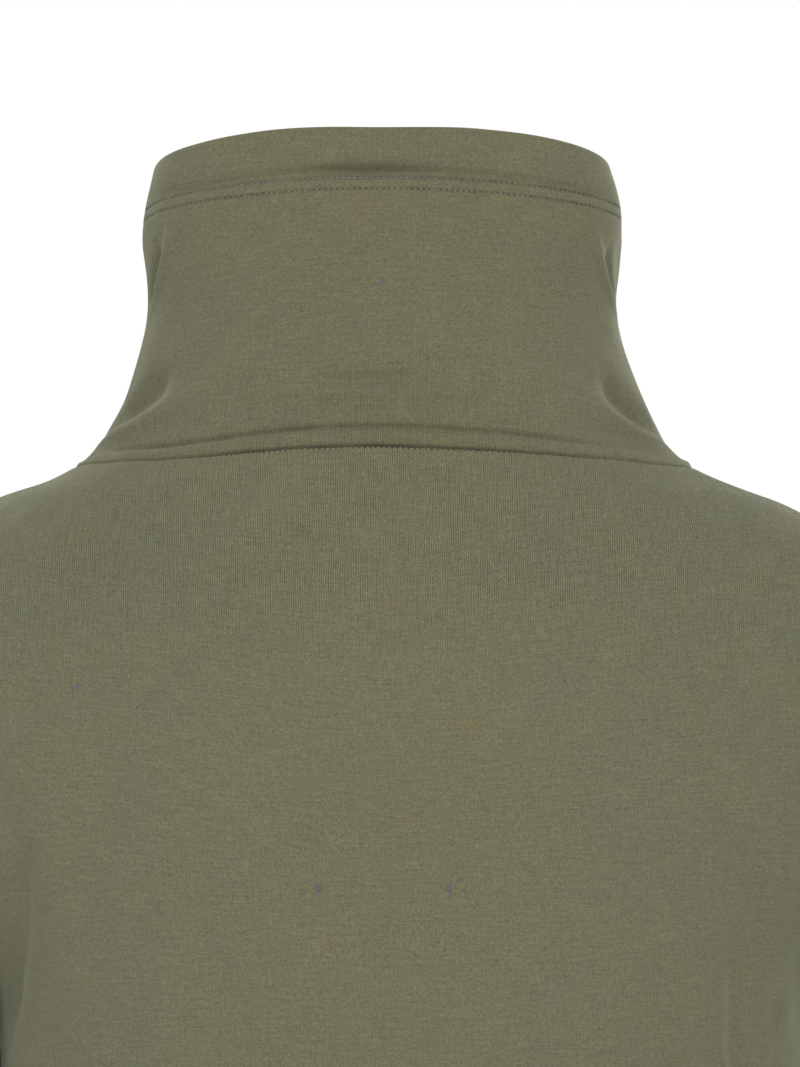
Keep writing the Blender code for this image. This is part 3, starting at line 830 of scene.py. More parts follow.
@dataclass
class ClothWall:
    """A closed wall of cloth from a grid of columns, counter-clockwise from above, and rows going up.

    The inner face takes only some of the grid's rows and columns, so the outer face can be fine.
    """

    name: str
    outer: Points
    inner: Points
    closed: bool
    kept_rows: Indices
    kept_columns: Indices
    maps: dict[str, Points]

    def _squares(self, rows: int, columns: int) -> Indices:
        """List the squares of a grid.

        Args:
            rows: how many rows of points.
            columns: how many columns of squares.

        Returns:
            Four corners (row, column) for each square.
        """
        row, column = np.meshgrid(np.arange(rows - 1), np.arange(columns), indexing="ij")
        row, column = row.ravel(), column.ravel()
        steps = ((0, 0), (0, 1), (1, 1), (1, 0))
        return np.stack([np.stack([row + down, column + over], -1) for down, over in steps], 1)

    def _strips(self) -> list[list[tuple[bool, int, int]]]:
        """List the faces that close the wall's edges.

        Returns:
            Each face's corners, as (whether on the inner face, row, column).
        """
        rows, columns = self.kept_rows, self._kept_round()
        last_row, last_column = rows[-1], columns[-1]
        strips = []
        for left, right in zip(columns[:-1], columns[1:]):
            span = range(left, right + 1)
            strips.append([(False, 0, c) for c in reversed(span)] + [(True, 0, left), (True, 0, right)])
            top = [(False, last_row, c) for c in span]
            strips.append(top + [(True, last_row, right), (True, last_row, left)])
        if not self.closed:
            for low, high in zip(rows[:-1], rows[1:]):
                span = range(low, high + 1)
                strips.append([(False, r, 0) for r in span] + [(True, high, 0), (True, low, 0)])
                far = [(False, r, last_column) for r in reversed(span)]
                strips.append(far + [(True, low, last_column), (True, high, last_column)])
        return strips

    def _kept_round(self) -> Indices:
        """The kept columns, with the first one again at the end of a tube.

        Returns:
            The columns.
        """
        if self.closed:
            return np.append(self.kept_columns, self.outer.shape[1])
        return self.kept_columns

    def make(self) -> bpy.types.Object:
        """Build the wall as a mesh with its texture maps.

        Returns:
            The new object, at the origin.
        """
        rows, columns = self.outer.shape[:2]
        kept = self._kept_round()
        outer = self._squares(rows, columns if self.closed else columns - 1)
        inner = self._squares(len(self.kept_rows), len(kept) - 1)[:, ::-1]
        inner_places = np.stack([self.kept_rows[inner[..., 0]], kept[inner[..., 1]]], -1)
        count = rows * columns
        width = len(self.kept_columns)
        vertices = [
            (outer[..., 0] * columns + outer[..., 1] % columns).ravel(),
            (count + inner[..., 0] * width + inner[..., 1] % width).ravel(),
        ]
        places = [outer.reshape(-1, 2), inner_places.reshape(-1, 2)]
        sizes = [np.full(len(outer), 4), np.full(len(inner), 4)]
        for strip in self._strips():
            inside, row, column = np.array(strip).T
            inner_row = np.searchsorted(self.kept_rows, row)
            inner_column = np.searchsorted(kept, column) % width
            at_outer = row * columns + column % columns
            vertices.append(np.where(inside, count + inner_row * width + inner_column, at_outer))
            places.append(np.stack([row, column], axis=-1))
            sizes.append([len(strip)])
        points = np.concatenate([self.outer.reshape(-1, 3), self.inner.reshape(-1, 3)])
        return self._mesh(points, np.concatenate(vertices), np.concatenate(places), np.concatenate(sizes))

    def _mesh(self, points: Points, corners: Indices, places: Indices, sizes: Indices) -> bpy.types.Object:
        """Turn points and corner lists into a smooth-shaded object.

        Args:
            points: the wall's points.
            corners: the point of each face corner, face after face.
            places: the (row, column) of each face corner.
            sizes: the number of corners of each face.

        Returns:
            The new object.
        """
        mesh = bpy.data.meshes.new(self.name)
        mesh.vertices.add(len(points))
        mesh.vertices.foreach_set("co", points.astype(np.float32).ravel())
        mesh.loops.add(len(corners))
        mesh.loops.foreach_set("vertex_index", corners.astype(np.int32))
        mesh.polygons.add(len(sizes))
        starts = np.concatenate([[0], np.cumsum(sizes)[:-1]])
        mesh.polygons.foreach_set("loop_start", starts.astype(np.int32))
        mesh.update(calc_edges=True)
        for name, values in self.maps.items():
            layer = mesh.uv_layers.new(name=name)
            layer.uv.foreach_set("vector", values[places[:, 0], places[:, 1]].astype(np.float32).ravel())
        mesh.validate()
        mesh.shade_smooth()
        mesh.set_sharp_from_angle(angle=SHARP)
        return placed(self.name, mesh)


def thinned(count: int, every: int, always: Iterable[int] = ()) -> Indices:
    """Indices of every few rows or columns, with both ends and any that are always kept."""
    return np.array(sorted({*range(0, count, every), count - 1, *(int(index) for index in always)}))


def kept_ends(count: int, turned: int) -> NDArray[np.bool_]:
    """A mark on the rows of the turned edge, and on the last two at the sewn edge."""
    row = np.arange(count)
    return (row < turned) | (row >= count - 2)


def eased(band: float, parts: int) -> Values:
    """Distances within a band that are close together at a seam and widen into the cloth."""
    return band * np.linspace(0, 1, parts + 1)[1:-1] ** 2


def cloth_map(points: Points, middle: int, closed: bool) -> Points:
    """Flat coordinates in metres: across from the middle column, and up from the first row.

    Args:
        points: the smooth grid.
        middle: the column that the distances start from.
        closed: whether the columns close into a tube.

    Returns:
        The map, with one more column than the grid where it closes.
    """
    if closed:
        points = np.concatenate([points, points[:, :1]], axis=1)
    across = np.linalg.norm(np.diff(points, axis=1), axis=-1)
    across = np.concatenate([np.zeros((len(points), 1)), np.cumsum(across, axis=1)], axis=1)
    across -= across[:, middle : middle + 1]
    up = lengths_along(points[:, middle])[:, None]
    return np.stack(np.broadcast_arrays(across, up), axis=-1)


def seam_map(along: Values, distance: Values, closed: bool, side: float = 1.0) -> Points:
    """The map of the distance along and from the nearest seam, negative on the collar's side of its seam."""
    values = np.stack([along, side * np.minimum(distance, SEAM_MAP_REACH)], axis=-1)
    return np.concatenate([values, values[:, :1]], axis=1) if closed else values


def edge_map(points: Points, from_edge: Values, closed: bool) -> Points:
    """The map for the stitched rows: stitches counted along the edge, and the distance from the edge.

    Args:
        points: the smooth grid.
        from_edge: the distance of each row from the turned edge.
        closed: whether the columns close into a tube.

    Returns:
        The map, with one more column than the grid where it closes.
    """
    row = points[np.abs(from_edge - TWIN_ROWS[0]).argmin()]
    if closed:
        row = np.concatenate([row, row[:1]])
    length = lengths_along(row)
    count = length / length[-1] * round(length[-1] / STITCH_PITCH)
    return np.stack(np.broadcast_arrays(count[None, :], from_edge[:, None]), axis=-1)


def stitch_dip(from_edge: Values) -> Values:
    """How far the stitched rows are drawn into the cloth, at distances from the turned edge."""
    return sum(STITCH_DIP * np.exp(-(((from_edge - row) / STITCH_DIP_WIDTH) ** 2)) for row in TWIN_ROWS)


def lapped(points: Points, row: int, closed: bool) -> Points:
    """Move each sewn edge out under its neighbour, so that no light shows through.

    Args:
        points: the grid.
        row: its sewn row, the first or the last one.
        closed: whether the columns close into a tube.

    Returns:
        The moved grid.
    """
    moved = points.copy()
    moved[row] -= unit(points[1 if row == 0 else -2] - points[row]) * SEAM_LAP / 2
    if not closed:
        for column, inside in ((0, 1), (-1, -2)):
            moved[:, column] -= unit(points[:, inside] - points[:, column]) * SEAM_LAP / 2
    return moved


# ---- Finishes --------------------------------------------------------------------------------------


class Grain(NamedTuple):
    """Noise at a scale per metre, spread between two numbers, with a number of finer layers."""

    scale: float
    low: float
    high: float
    detail: float = 2.0


class NodePad:
    """Short ways to add nodes to a shader or geometry tree."""

    def __init__(self, tree: bpy.types.NodeTree) -> None:
        """Work on one tree."""
        self.tree = tree

    def add(self, kind: str, inputs: dict | None = None, **settings: object) -> bpy.types.Node:
        """Add a node.

        Args:
            kind: the node's type name.
            inputs: values or sockets by input name or number.
            settings: properties of the node.

        Returns:
            The node.
        """
        node = self.tree.nodes.new(kind)
        for name, value in settings.items():
            setattr(node, name, value)
        for name, value in (inputs or {}).items():
            self.put(value, node.inputs[name])
        return node

    def put(self, value: object, socket: Socket) -> None:
        """Link a socket, or set a plain value.

        Args:
            value: the socket to link from, or the value.
            socket: the input that takes it.
        """
        if isinstance(value, Socket):
            self.tree.links.new(value, socket)
        else:
            socket.default_value = value

    def math(self, operation: str, *values: object) -> Socket:
        """The result of one sum on numbers or sockets."""
        return self.add("ShaderNodeMath", dict(enumerate(values)), operation=operation).outputs[0]

    def product(self, *values: object) -> Socket:
        """All values multiplied together."""
        return reduce(lambda first, second: self.math("MULTIPLY", first, second), values)

    def total(self, *values: object) -> Socket:
        """All values added together."""
        return reduce(lambda first, second: self.math("ADD", first, second), values)

    def noise(self, vector: object, scale: float, detail: float = 2.0, rough: float = 0.5) -> Socket:
        """Noise between 0 and 1."""
        inputs = {"Vector": vector, "Scale": scale, "Detail": detail, "Roughness": rough}
        return self.add("ShaderNodeTexNoise", inputs).outputs[0]

    def streaks(self, vector: object, scale: Triple) -> Socket:
        """Noise between 0 and 1 that is drawn out along the axes with a small scale."""
        drawn = self.add("ShaderNodeMapping", {"Vector": vector, "Scale": scale})
        return self.noise(drawn.outputs[0], 1.0, 1.0)

    def spread(self, value: object, low: float, high: float) -> Socket:
        """A share from 0 to 1 made into a number between low and high."""
        return self.add("ShaderNodeMapRange", {"Value": value, "To Min": low, "To Max": high}).outputs[0]

    def grain(self, vector: object, grain: Grain) -> Socket:
        """Noise between a grain's two numbers."""
        return self.spread(self.noise(vector, grain.scale, grain.detail), grain.low, grain.high)

    def ramp(self, value: object, start: float, stop: float, ends: Pair = (0.0, 1.0)) -> Socket:
        """A smooth change with the value, level before its start and after its stop.

        Args:
            value: what the change follows.
            start: the value where the change starts, which may be the larger one.
            stop: the value where it stops.
            ends: the results at the start and at the stop.

        Returns:
            The result.
        """
        if start > stop:
            start, stop, ends = stop, start, ends[::-1]
        inputs = {"Value": value, "From Min": start, "From Max": stop, "To Min": ends[0], "To Max": ends[1]}
        return self.add("ShaderNodeMapRange", inputs, interpolation_type="SMOOTHSTEP").outputs[0]

    def axes(self, vector: object) -> bpy.types.NodeOutputs:
        """The three coordinates of a vector."""
        return self.add("ShaderNodeSeparateXYZ", {0: vector}).outputs

    def aside(self, place: object) -> Socket:
        """The distance of a place from the garment's middle, to either side."""
        return self.math("ABSOLUTE", self.axes(place)[0])

    def texture_map(self, name: str) -> Socket:
        """The coordinates of one of the cloth's texture maps."""
        return self.add("ShaderNodeUVMap", uv_map=name).outputs[0]


class SurfacePad(NodePad):
    """The tree of a new material, with its shader and its coordinates in space."""

    def __init__(self, name: str, settings: dict[str, object]) -> None:
        """Make the material.

        Args:
            name: the material's name.
            settings: what is the same all over the surface, by the shader's input names.
        """
        self.material = bpy.data.materials.new(name)
        self.material.use_nodes = True
        super().__init__(self.material.node_tree)
        self.shader = self.tree.nodes["Principled BSDF"]
        for socket, value in settings.items():
            self.shader.inputs[socket].default_value = value
        self.place = self.add("ShaderNodeTexCoord").outputs["Object"]

    def finish(self, colour: object, shade: object, height: object) -> bpy.types.Material:
        """Paint and emboss the surface.

        Args:
            colour: the colour before it is shaded.
            shade: a factor on the colour.
            height: how far the surface stands up, in metres.

        Returns:
            The finished material.
        """
        painted = self.add("ShaderNodeVectorMath", {0: colour, "Scale": shade}, operation="SCALE")
        self.put(painted.outputs[0], self.shader.inputs["Base Color"])
        bump = self.add("ShaderNodeBump", {"Height": height, "Strength": 1.0, "Distance": 1.0})
        self.put(bump.outputs[0], self.shader.inputs["Normal"])
        return self.material


@dataclass(frozen=True)
class KnitFinish:
    """Fine plain knit with a faint melange, a brushed back and a matt, slightly downy face.

    A shade is a change to the tone's factor and a relief is a height. A band is where an effect starts and
    stops, across the garment or from a seam or a row. A noise given by three numbers has them as its scale,
    its detail and its roughness. Lengths are metres and scales are per metre.
    """

    name: str = "olive_knit"
    tone: float = 0.90
    # painted light: this share lifts the colour towards the sides, over the band that follows
    side_light: float = 0.0
    side_band: Pair = (0.04, 0.09)
    roughness: float = 0.92
    specular: float = 0.15
    sheen: float = 0.30
    sheen_roughness: float = 0.45
    sheen_tint: Colour = (0.75, 0.78, 0.58, 1.0)

    warm: Triple = (0.1310, 0.1210, 0.0670)
    cool: Triple = (0.1180, 0.1190, 0.0750)
    tone_patches: Triple = (34.0, 3.0, 0.6)
    tone_yarns: Triple = (560.0, 2.0, 0.6)
    tone_mix: Pair = (0.26, 0.70)
    # painted sheen: a cooler tint towards the sides, over this band and by this share
    cool_band: Pair = (0.03, 0.13)
    cool_sides: float = -0.15

    wale: float = 0.00105
    course: float = 0.00084
    leg_slope: float = 1.1
    wale_sway: Grain = Grain(60.0, -0.0010, 0.0010, 1.0)
    wale_shade: float = 0.56
    wale_relief: float = 0.00022
    wale_part: float = 0.6
    ladder_scale: Triple = (1300.0, 70.0, 1.0)
    ladder: float = 0.8
    clear_drop: float = 0.026
    clear_band: Pair = (0.015, 0.095)
    clear_elsewhere: float = 0.34
    clear_patches: Grain = Grain(40.0, 0.45, 1.45)
    down: Triple = (1700.0, 2.0, 0.6)
    down_relief: float = 0.00016

    tooth_pitch: float = 0.0026
    tooth_height: float = 0.0013
    tooth_wander: Grain = Grain(120.0, -0.0007, 0.0007, 1.0)
    tooth_sizes: Grain = Grain(210.0, 0.2, 1.7, 0.0)
    # painted highlight on the teeth's lips; the relief is a real bump
    painted_tooth_highlight: float = 0.28
    tooth_relief: float = 0.00040
    lip_bands: tuple[Pair, Pair] = ((0.0, 0.0004), (0.0017, 0.0006))
    # painted shade in the seam's groove: its patchy strength, its bands past the teeth and below the seam,
    # and how it weakens towards the seam's ends
    painted_groove_shade: Grain = Grain(38.0, 0.10, 0.80)
    groove_bands: tuple[Pair, Pair] = ((0.00035, -0.0001), (-0.0018, -0.0004))
    groove_ends: Pair = (0.125, 0.045)
    groove_end_share: float = 0.42

    # painted shade in the needle holes; the relief is a real dimple
    painted_hole_shade: float = 0.48
    hole_relief: float = -0.00030
    hole_span: Pair = (0.28, 0.46)
    hole_band: Pair = (0.00085, 0.00025)
    hole_rows: tuple[Pair, ...] = ((0.60, 1.60), (0.52, 1.0))
    hole_strength: Grain = Grain(240.0, 0.10, 1.50, 0.0)
    hole_patches: Grain = Grain(62.0, 0.35, 1.65, 1.0)

    streak_scale: Triple = (340.0, 1150.0, 1.0)
    streak_slants: tuple[float, ...] = (0.0, 42.0, -38.0)
    streak_shade: Pair = (0.76, 1.24)
    slant_choice: Triple = (45.0, 3.0, 0.7)
    slant_bands: tuple[Pair, ...] = ((0.50, 0.58), (0.48, 0.40))
    yarn_grain: Grain = Grain(1250.0, 0.58, 1.42, 1.0)
    broad_grain: Grain = Grain(14.0, 0.96, 1.04)
    slub_scale: Triple = (60.0, 1000.0, 1.0)
    slub_shade: Pair = (0.83, 1.17)

    def material(self) -> bpy.types.Material:
        """Build the knit's material.

        Returns:
            The material.
        """
        settings = {
            "Roughness": self.roughness,
            "Specular IOR Level": self.specular,
            "Sheen Weight": self.sheen,
            "Sheen Roughness": self.sheen_roughness,
            "Sheen Tint": self.sheen_tint,
        }
        pad = SurfacePad(self.name, settings)
        cloth = pad.texture_map("cloth")
        show = self._show(pad)
        ridge, stitch = self._stitches(pad, cloth)
        groove, tooth = self._seam_teeth(pad)
        hole = self._needle_holes(pad)
        groove = pad.product(groove, pad.grain(pad.place, self.painted_groove_shade))
        shade = pad.product(
            self.tone,
            # painted light that lifts the colour towards the sides
            pad.math("MULTIPLY_ADD", pad.ramp(pad.aside(pad.place), *self.side_band), self.side_light, 1.0),
            self._melange(pad, cloth),
            pad.math("ADD", 1.0, pad.product(pad.math("SUBTRACT", ridge, 0.5), show, self.wale_shade)),
            # painted shade in the seam's groove
            pad.math("SUBTRACT", 1.0, groove),
            # painted highlight on the teeth's lips
            pad.math("ADD", 1.0, pad.product(tooth, self.painted_tooth_highlight)),
            # painted shade in the needle holes
            pad.math("SUBTRACT", 1.0, pad.product(hole, self.painted_hole_shade)),
        )
        height = pad.total(
            pad.product(stitch, show, self.wale_relief),
            pad.product(pad.noise(pad.place, *self.down), self.down_relief),
            pad.product(tooth, self.tooth_relief),
            pad.product(hole, self.hole_relief),
        )
        return pad.finish(self._tones(pad), shade, height)

    def _show(self, pad: SurfacePad) -> Socket:
        """How clearly the wales show: most below the neck seam, and in uneven patches elsewhere.

        Args:
            pad: the material's tree.

        Returns:
            A factor for what the wales do.
        """
        below = pad.math("ABSOLUTE", pad.math("ADD", pad.axes(pad.place)[2], self.clear_drop))
        near = pad.ramp(below, *self.clear_band, (1.0, self.clear_elsewhere))
        return pad.product(near, pad.grain(pad.place, self.clear_patches))

    def _stitches(self, pad: SurfacePad, cloth: object) -> tuple[Socket, Socket]:
        """The knit's surface: a ridge for each wale, and V-shaped stitches in it.

        Args:
            pad: the material's tree.
            cloth: flat coordinates on the cloth.

        Returns:
            The ridge, from 0 in the gap between wales to 1, and the stitch height.
        """
        flat = pad.axes(cloth)
        sway = pad.grain(pad.place, self.wale_sway)
        across = pad.math("DIVIDE", pad.math("ADD", flat[0], sway), self.wale)
        up = pad.math("DIVIDE", pad.math("ADD", flat[1], sway), self.course)
        turn = pad.math("COSINE", pad.math("MULTIPLY", across, math.tau))
        ridge = pad.math("MULTIPLY_ADD", turn, -0.5, 0.5)
        off_middle = pad.math("ABSOLUTE", pad.math("SUBTRACT", pad.math("FRACT", across), 0.5))
        leg = pad.math("MULTIPLY", off_middle, self.leg_slope)
        wave = pad.math("COSINE", pad.math("MULTIPLY", pad.math("ADD", up, leg), math.tau))
        loops = pad.math("MULTIPLY", pad.math("MULTIPLY_ADD", wave, 0.5, 0.5), ridge)
        ridge = pad.math("MULTIPLY_ADD", pad.streaks(cloth, self.ladder_scale), self.ladder, ridge)
        ridge = pad.math("SUBTRACT", ridge, self.ladder / 2)
        wales = pad.math("MULTIPLY", ridge, self.wale_part)
        return ridge, pad.math("ADD", wales, pad.math("MULTIPLY", loops, 1 - self.wale_part))

    def _seam_teeth(self, pad: SurfacePad) -> tuple[Socket, Socket]:
        """The seam's groove in painted shade, and the small rounded teeth of cloth between its stitches, with
        a painted highlight on their lips.

        Args:
            pad: the material's tree.

        Returns:
            How much painted shade darkens the seam's groove, and how much painted highlight lights a tooth's
            lip.
        """
        seam = pad.axes(pad.texture_map("seam"))
        wandering = pad.math("ADD", seam[0], pad.grain(pad.place, self.tooth_wander))
        along = pad.math("DIVIDE", wandering, self.tooth_pitch)
        arch = pad.math("ABSOLUTE", pad.math("SINE", pad.math("MULTIPLY", along, math.pi)))
        size = pad.grain(pad.place, self.tooth_sizes)
        edge = pad.product(pad.math("SUBTRACT", 1.0, arch), size, self.tooth_height)
        past = pad.math("SUBTRACT", seam[1], edge)
        below, above = self.groove_bands
        centre = pad.spread(pad.ramp(pad.aside(pad.place), *self.groove_ends), self.groove_end_share, 1.0)
        # painted shade along the groove
        dark = pad.product(pad.ramp(past, *below), pad.ramp(seam[1], *above), centre)
        # painted highlight on each tooth's lip
        lip = [pad.ramp(past, *band) for band in self.lip_bands]
        return dark, pad.product(*lip, arch)

    def _needle_holes(self, pad: SurfacePad) -> Socket:
        """The needle holes between the stitches of the two rows along a turned edge, darkened with painted
        shade and sunk as a dimple.

        Args:
            pad: the material's tree.

        Returns:
            How deep in a hole each place is.
        """
        edge = pad.axes(pad.texture_map("edge"))
        near = pad.math("ABSOLUTE", pad.math("SUBTRACT", pad.math("FRACT", edge[0]), 0.5))
        spot = pad.ramp(near, *self.hole_span)
        strength = pad.grain(pad.place, self.hole_strength)
        strength = pad.product(strength, pad.grain(pad.place, self.hole_patches))
        rows = []
        for from_edge, depths in zip(TWIN_ROWS, self.hole_rows):
            off = pad.math("ABSOLUTE", pad.math("SUBTRACT", edge[1], from_edge))
            rows.append(pad.product(pad.ramp(off, *self.hole_band), pad.spread(spot, *depths)))
        return pad.product(pad.total(*rows), strength)

    def _tones(self, pad: SurfacePad) -> Socket:
        """Warm and cool olive mixed in faint soft patches and in single yarns, with a painted sheen that
        cools it towards the sides.

        Args:
            pad: the material's tree.

        Returns:
            The mixed colour.
        """
        patches = pad.noise(pad.place, *self.tone_patches)
        yarns = pad.noise(pad.place, *self.tone_yarns)
        # painted sheen: the mix turns cooler towards the sides
        sides = pad.product(pad.ramp(pad.aside(pad.place), *self.cool_band), self.cool_sides)
        share = pad.total(pad.product(patches, 0.5), pad.product(yarns, 0.5), sides)
        colours = {0: pad.ramp(share, *self.tone_mix), 6: (*self.cool, 1.0), 7: (*self.warm, 1.0)}
        return pad.add("ShaderNodeMix", colours, data_type="RGBA", blend_type="MIX").outputs[2]

    def _melange(self, pad: SurfacePad, cloth: object) -> Socket:
        """The melange: streaks that lie level or slant either way by patches, and a fine grain.

        Args:
            pad: the material's tree.
            cloth: flat coordinates on the cloth.

        Returns:
            A factor on the colour.
        """
        slants = []
        for degrees in self.streak_slants:
            turn = (0.0, 0.0, math.radians(degrees))
            turned = pad.add("ShaderNodeMapping", {"Vector": cloth, "Rotation": turn})
            slants.append(pad.streaks(turned.outputs[0], self.streak_scale))
        choice = pad.noise(pad.place, *self.slant_choice)
        streaks = slants[0]
        for slanted, band in zip(slants[1:], self.slant_bands):
            change = pad.math("SUBTRACT", slanted, streaks)
            streaks = pad.math("MULTIPLY_ADD", change, pad.ramp(choice, *band), streaks)
        return pad.product(
            pad.spread(streaks, *self.streak_shade),
            pad.grain(pad.place, self.yarn_grain),
            pad.grain(pad.place, self.broad_grain),
            pad.spread(pad.streaks(cloth, self.slub_scale), *self.slub_shade),
        )


@dataclass(frozen=True)
class ThreadFinish:
    """Matt sewing thread with a faint twist, and painted shade that darkens it towards the sides; a factor
    over one paints it lighter there.
    """

    name: str = "sewing_thread"
    colour: Triple = (0.155, 0.168, 0.142)
    side_tone: float = 0.62
    side_band: Pair = (0.03, 0.09)
    roughness: float = 0.75
    sheen: float = 0.15
    strand: Grain = Grain(900.0, 0.72, 1.28)
    stretches: Grain = Grain(70.0, 0.55, 1.35, 1.0)
    twist_scale: float = 4200.0
    twist_relief: float = 0.00006

    def material(self) -> bpy.types.Material:
        """Build the thread's material.

        Returns:
            The material.
        """
        pad = SurfacePad(self.name, {"Roughness": self.roughness, "Sheen Weight": self.sheen})
        start, stop = self.side_band
        band = {"Value": pad.aside(pad.place), "From Min": start, "From Max": stop}
        # painted shade: the thread's colour darkens towards the sides, and lightens where the factor is over
        # one
        painted_side_shading = pad.add("ShaderNodeMapRange", {**band, "To Min": 1.0, "To Max": self.side_tone}).outputs[0]
        strand = pad.grain(pad.place, self.strand)
        stretches = pad.grain(pad.place, self.stretches)
        twist = pad.product(pad.noise(pad.place, self.twist_scale, 1.0), self.twist_relief)
        return pad.finish(self.colour, pad.product(strand, painted_side_shading, stretches), twist)


# ---- Cut pieces ------------------------------------------------------------------------------------


class Grid(NamedTuple):
    """A cut piece's smooth grid, and what is known of its rows.

    from_edge is the distance of each row from the turned edge, and kept marks the rows that the inner
    face has too.
    """

    smooth: Points
    outward: Points
    from_edge: Values
    kept: NDArray[np.bool_]
    seams: SeamMap


@dataclass(kw_only=True)
class CutPiece(ABC):
    """One cut piece of knit: a fine grid on the form, sewn at one end and turned at the other."""

    form: Form
    node: str
    flat: Pair
    area: float
    held: str = "hung"
    closed: bool = False
    sewn_row: int = -1
    seam_sign: float = 1.0
    inner_every: int = 3
    edge: FreeEdge = field(default_factory=FreeEdge)

    @abstractmethod
    def grid(self) -> Grid:
        """The piece's smooth grid."""

    def make(self, knit: bpy.types.Material) -> bpy.types.Object:
        """Build the piece and dress it.

        Args:
            knit: the material that it is cut from.

        Returns:
            The finished piece.
        """
        grid = self.grid()
        shaped, outward, along, distance = self.form.shaped(grid.smooth, grid.outward, grid.seams)
        shaped = lapped(shaped, self.sewn_row, self.closed)
        shaped -= outward * stitch_dip(grid.from_edge)[:, None, None]
        sunk, whole = self.edge.wall(grid.from_edge)
        rows = thinned(len(shaped), self.inner_every, np.flatnonzero(grid.kept))
        count = shaped.shape[1]
        columns = np.arange(0, count, self.inner_every) if self.closed else thinned(count, self.inner_every)
        inner = shaped - outward * whole[:, None, None]
        wall = ClothWall(
            name=f"{self.node}_knit",
            outer=shaped - outward * sunk[:, None, None],
            inner=inner[np.ix_(rows, columns)],
            closed=self.closed,
            kept_rows=rows,
            kept_columns=columns,
            maps={
                "cloth": cloth_map(grid.smooth, count // 2, self.closed),
                "seam": seam_map(along, distance, self.closed, self.seam_sign),
                "edge": edge_map(grid.smooth, grid.from_edge, self.closed),
            },
        )
        piece = wall.make()
        self._dress(piece, knit)
        return piece

    def _dress(self, piece: bpy.types.Object, knit: bpy.types.Material) -> None:
        """Give a piece its knit, attach it to the root body, and hide the CAD part that it stands for.

        Args:
            piece: the piece's object.
            knit: its material.
        """
        piece.data.materials.append(knit)
        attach(piece, "root")
        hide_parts(self.node)


@dataclass(kw_only=True)
class HalfRound(CutPiece):
    """A cut piece that goes from seam to seam round the back or the front.

    seam_columns are the first columns from each seam and plain_from is where the even ones start, as
    shares of half the piece's width.
    """

    middle: float
    columns: int = 0
    seam_columns: tuple[float, ...] = ()
    plain_from: float = 0.0

    def _laid(self, shell: RingShell, drop: Values, half: Values) -> tuple[Points, Points]:
        """Lay the grid on a shell, with columns that are closer together at the seams.

        Args:
            shell: the torso or the collar.
            drop: the drop of each row.
            half: the half angle of each row.

        Returns:
            The grid's points and their outward directions.
        """
        near = np.array(self.seam_columns)
        inside = np.linspace(-1 + self.plain_from, 1 - self.plain_from, self.columns + 1)
        across = np.concatenate([-1 + near, inside, (1 - near)[::-1]])
        angle = self.middle + half[:, None] * across
        level = np.broadcast_to(drop[:, None], angle.shape)
        return shell.points(level, angle), shell.outward(level, angle)


@dataclass(kw_only=True)
class Panel(HalfRound):
    """The back, or the front: one cut piece from the neck seam to the turned hem."""

    columns: int = 296
    seam_columns: tuple[float, ...] = (0.0, 0.0022, 0.0050, 0.0086)
    plain_from: float = 0.013
    armhole_rows: int = 104
    shoulder_rows: int = 30
    side_rows: int = 106
    seam_rows: int = 7
    seam_band: float = 0.0045

    def grid(self) -> Grid:
        """Rows from the hem up, narrower between the armholes.

        Returns:
            The grid.
        """
        hem = HEM_DROP - self.edge.levels()
        side = np.linspace(hem[-1], UNDERARM_DROP, self.side_rows + 1)[1:-1]
        turn = np.linspace(math.pi, 0.0, self.armhole_rows + 1)
        arm_drop, arm_angle = self.form.sleeve.armhole_place(turn)
        shoulder = np.linspace(SHOULDER_TIP_DROP, self.seam_band, self.shoulder_rows + 1)[1:]
        seam = np.append(eased(self.seam_band, self.seam_rows)[::-1], 0.0)
        drop = np.concatenate([hem, side, arm_drop, shoulder, seam])
        half = np.full(len(drop), QUARTER)
        start = len(hem) + len(side)
        half[start : start + len(turn)] = arm_angle
        smooth, outward = self._laid(self.form.torso, drop, half)
        seams = self.form.seams_named("neck", "armhole", "side", "shoulder")
        return Grid(smooth, outward, HEM_DROP - drop, kept_ends(len(drop), len(hem)), seams)


@dataclass(kw_only=True)
class CollarHalf(HalfRound):
    """The back or the front half of the funnel collar, from the neck seam to the turned rim.

    More rows lie close together where a crease runs level: below the rim, and on the seam's cloth.
    """

    held: str = "draped"
    sewn_row: int = 0
    seam_sign: float = -1.0
    columns: int = 470
    seam_columns: tuple[float, ...] = (0.0, 0.0030, 0.0066)
    plain_from: float = 0.0105
    rows: int = 62
    seam_rows: int = 8
    seam_band: float = 0.0045
    rim_rows: int = 34
    rim_band: Pair = (0.0085, TURNED_DEPTH - 0.0012)
    allowance_band: Pair = (-0.0125, -0.0049)
    allowance_step: float = 0.0006
    digits: int = 6

    def grid(self) -> Grid:
        """Rows from the neck seam up to the rim.

        Returns:
            The grid.
        """
        seam = np.concatenate([[0.0], -eased(self.seam_band, self.seam_rows)])
        rim = RIM_DROP + self.edge.levels()[::-1]
        stand = np.linspace(-self.seam_band, rim[0], self.rows + 1)[:-1]
        below_rim = RIM_DROP + np.linspace(*self.rim_band, self.rim_rows)
        allowance = np.arange(*self.allowance_band, self.allowance_step)
        drop = np.concatenate([seam, stand, rim, below_rim, allowance])
        drop = np.unique(np.round(drop, self.digits))[::-1]
        kept = np.isin(drop, np.round(np.concatenate([seam[:2], rim]), self.digits))
        smooth, outward = self._laid(self.form.collar, drop, np.full(len(drop), QUARTER))
        return Grid(smooth, outward, drop - RIM_DROP, kept, self.form.seams_named("neck", "collar_side"))


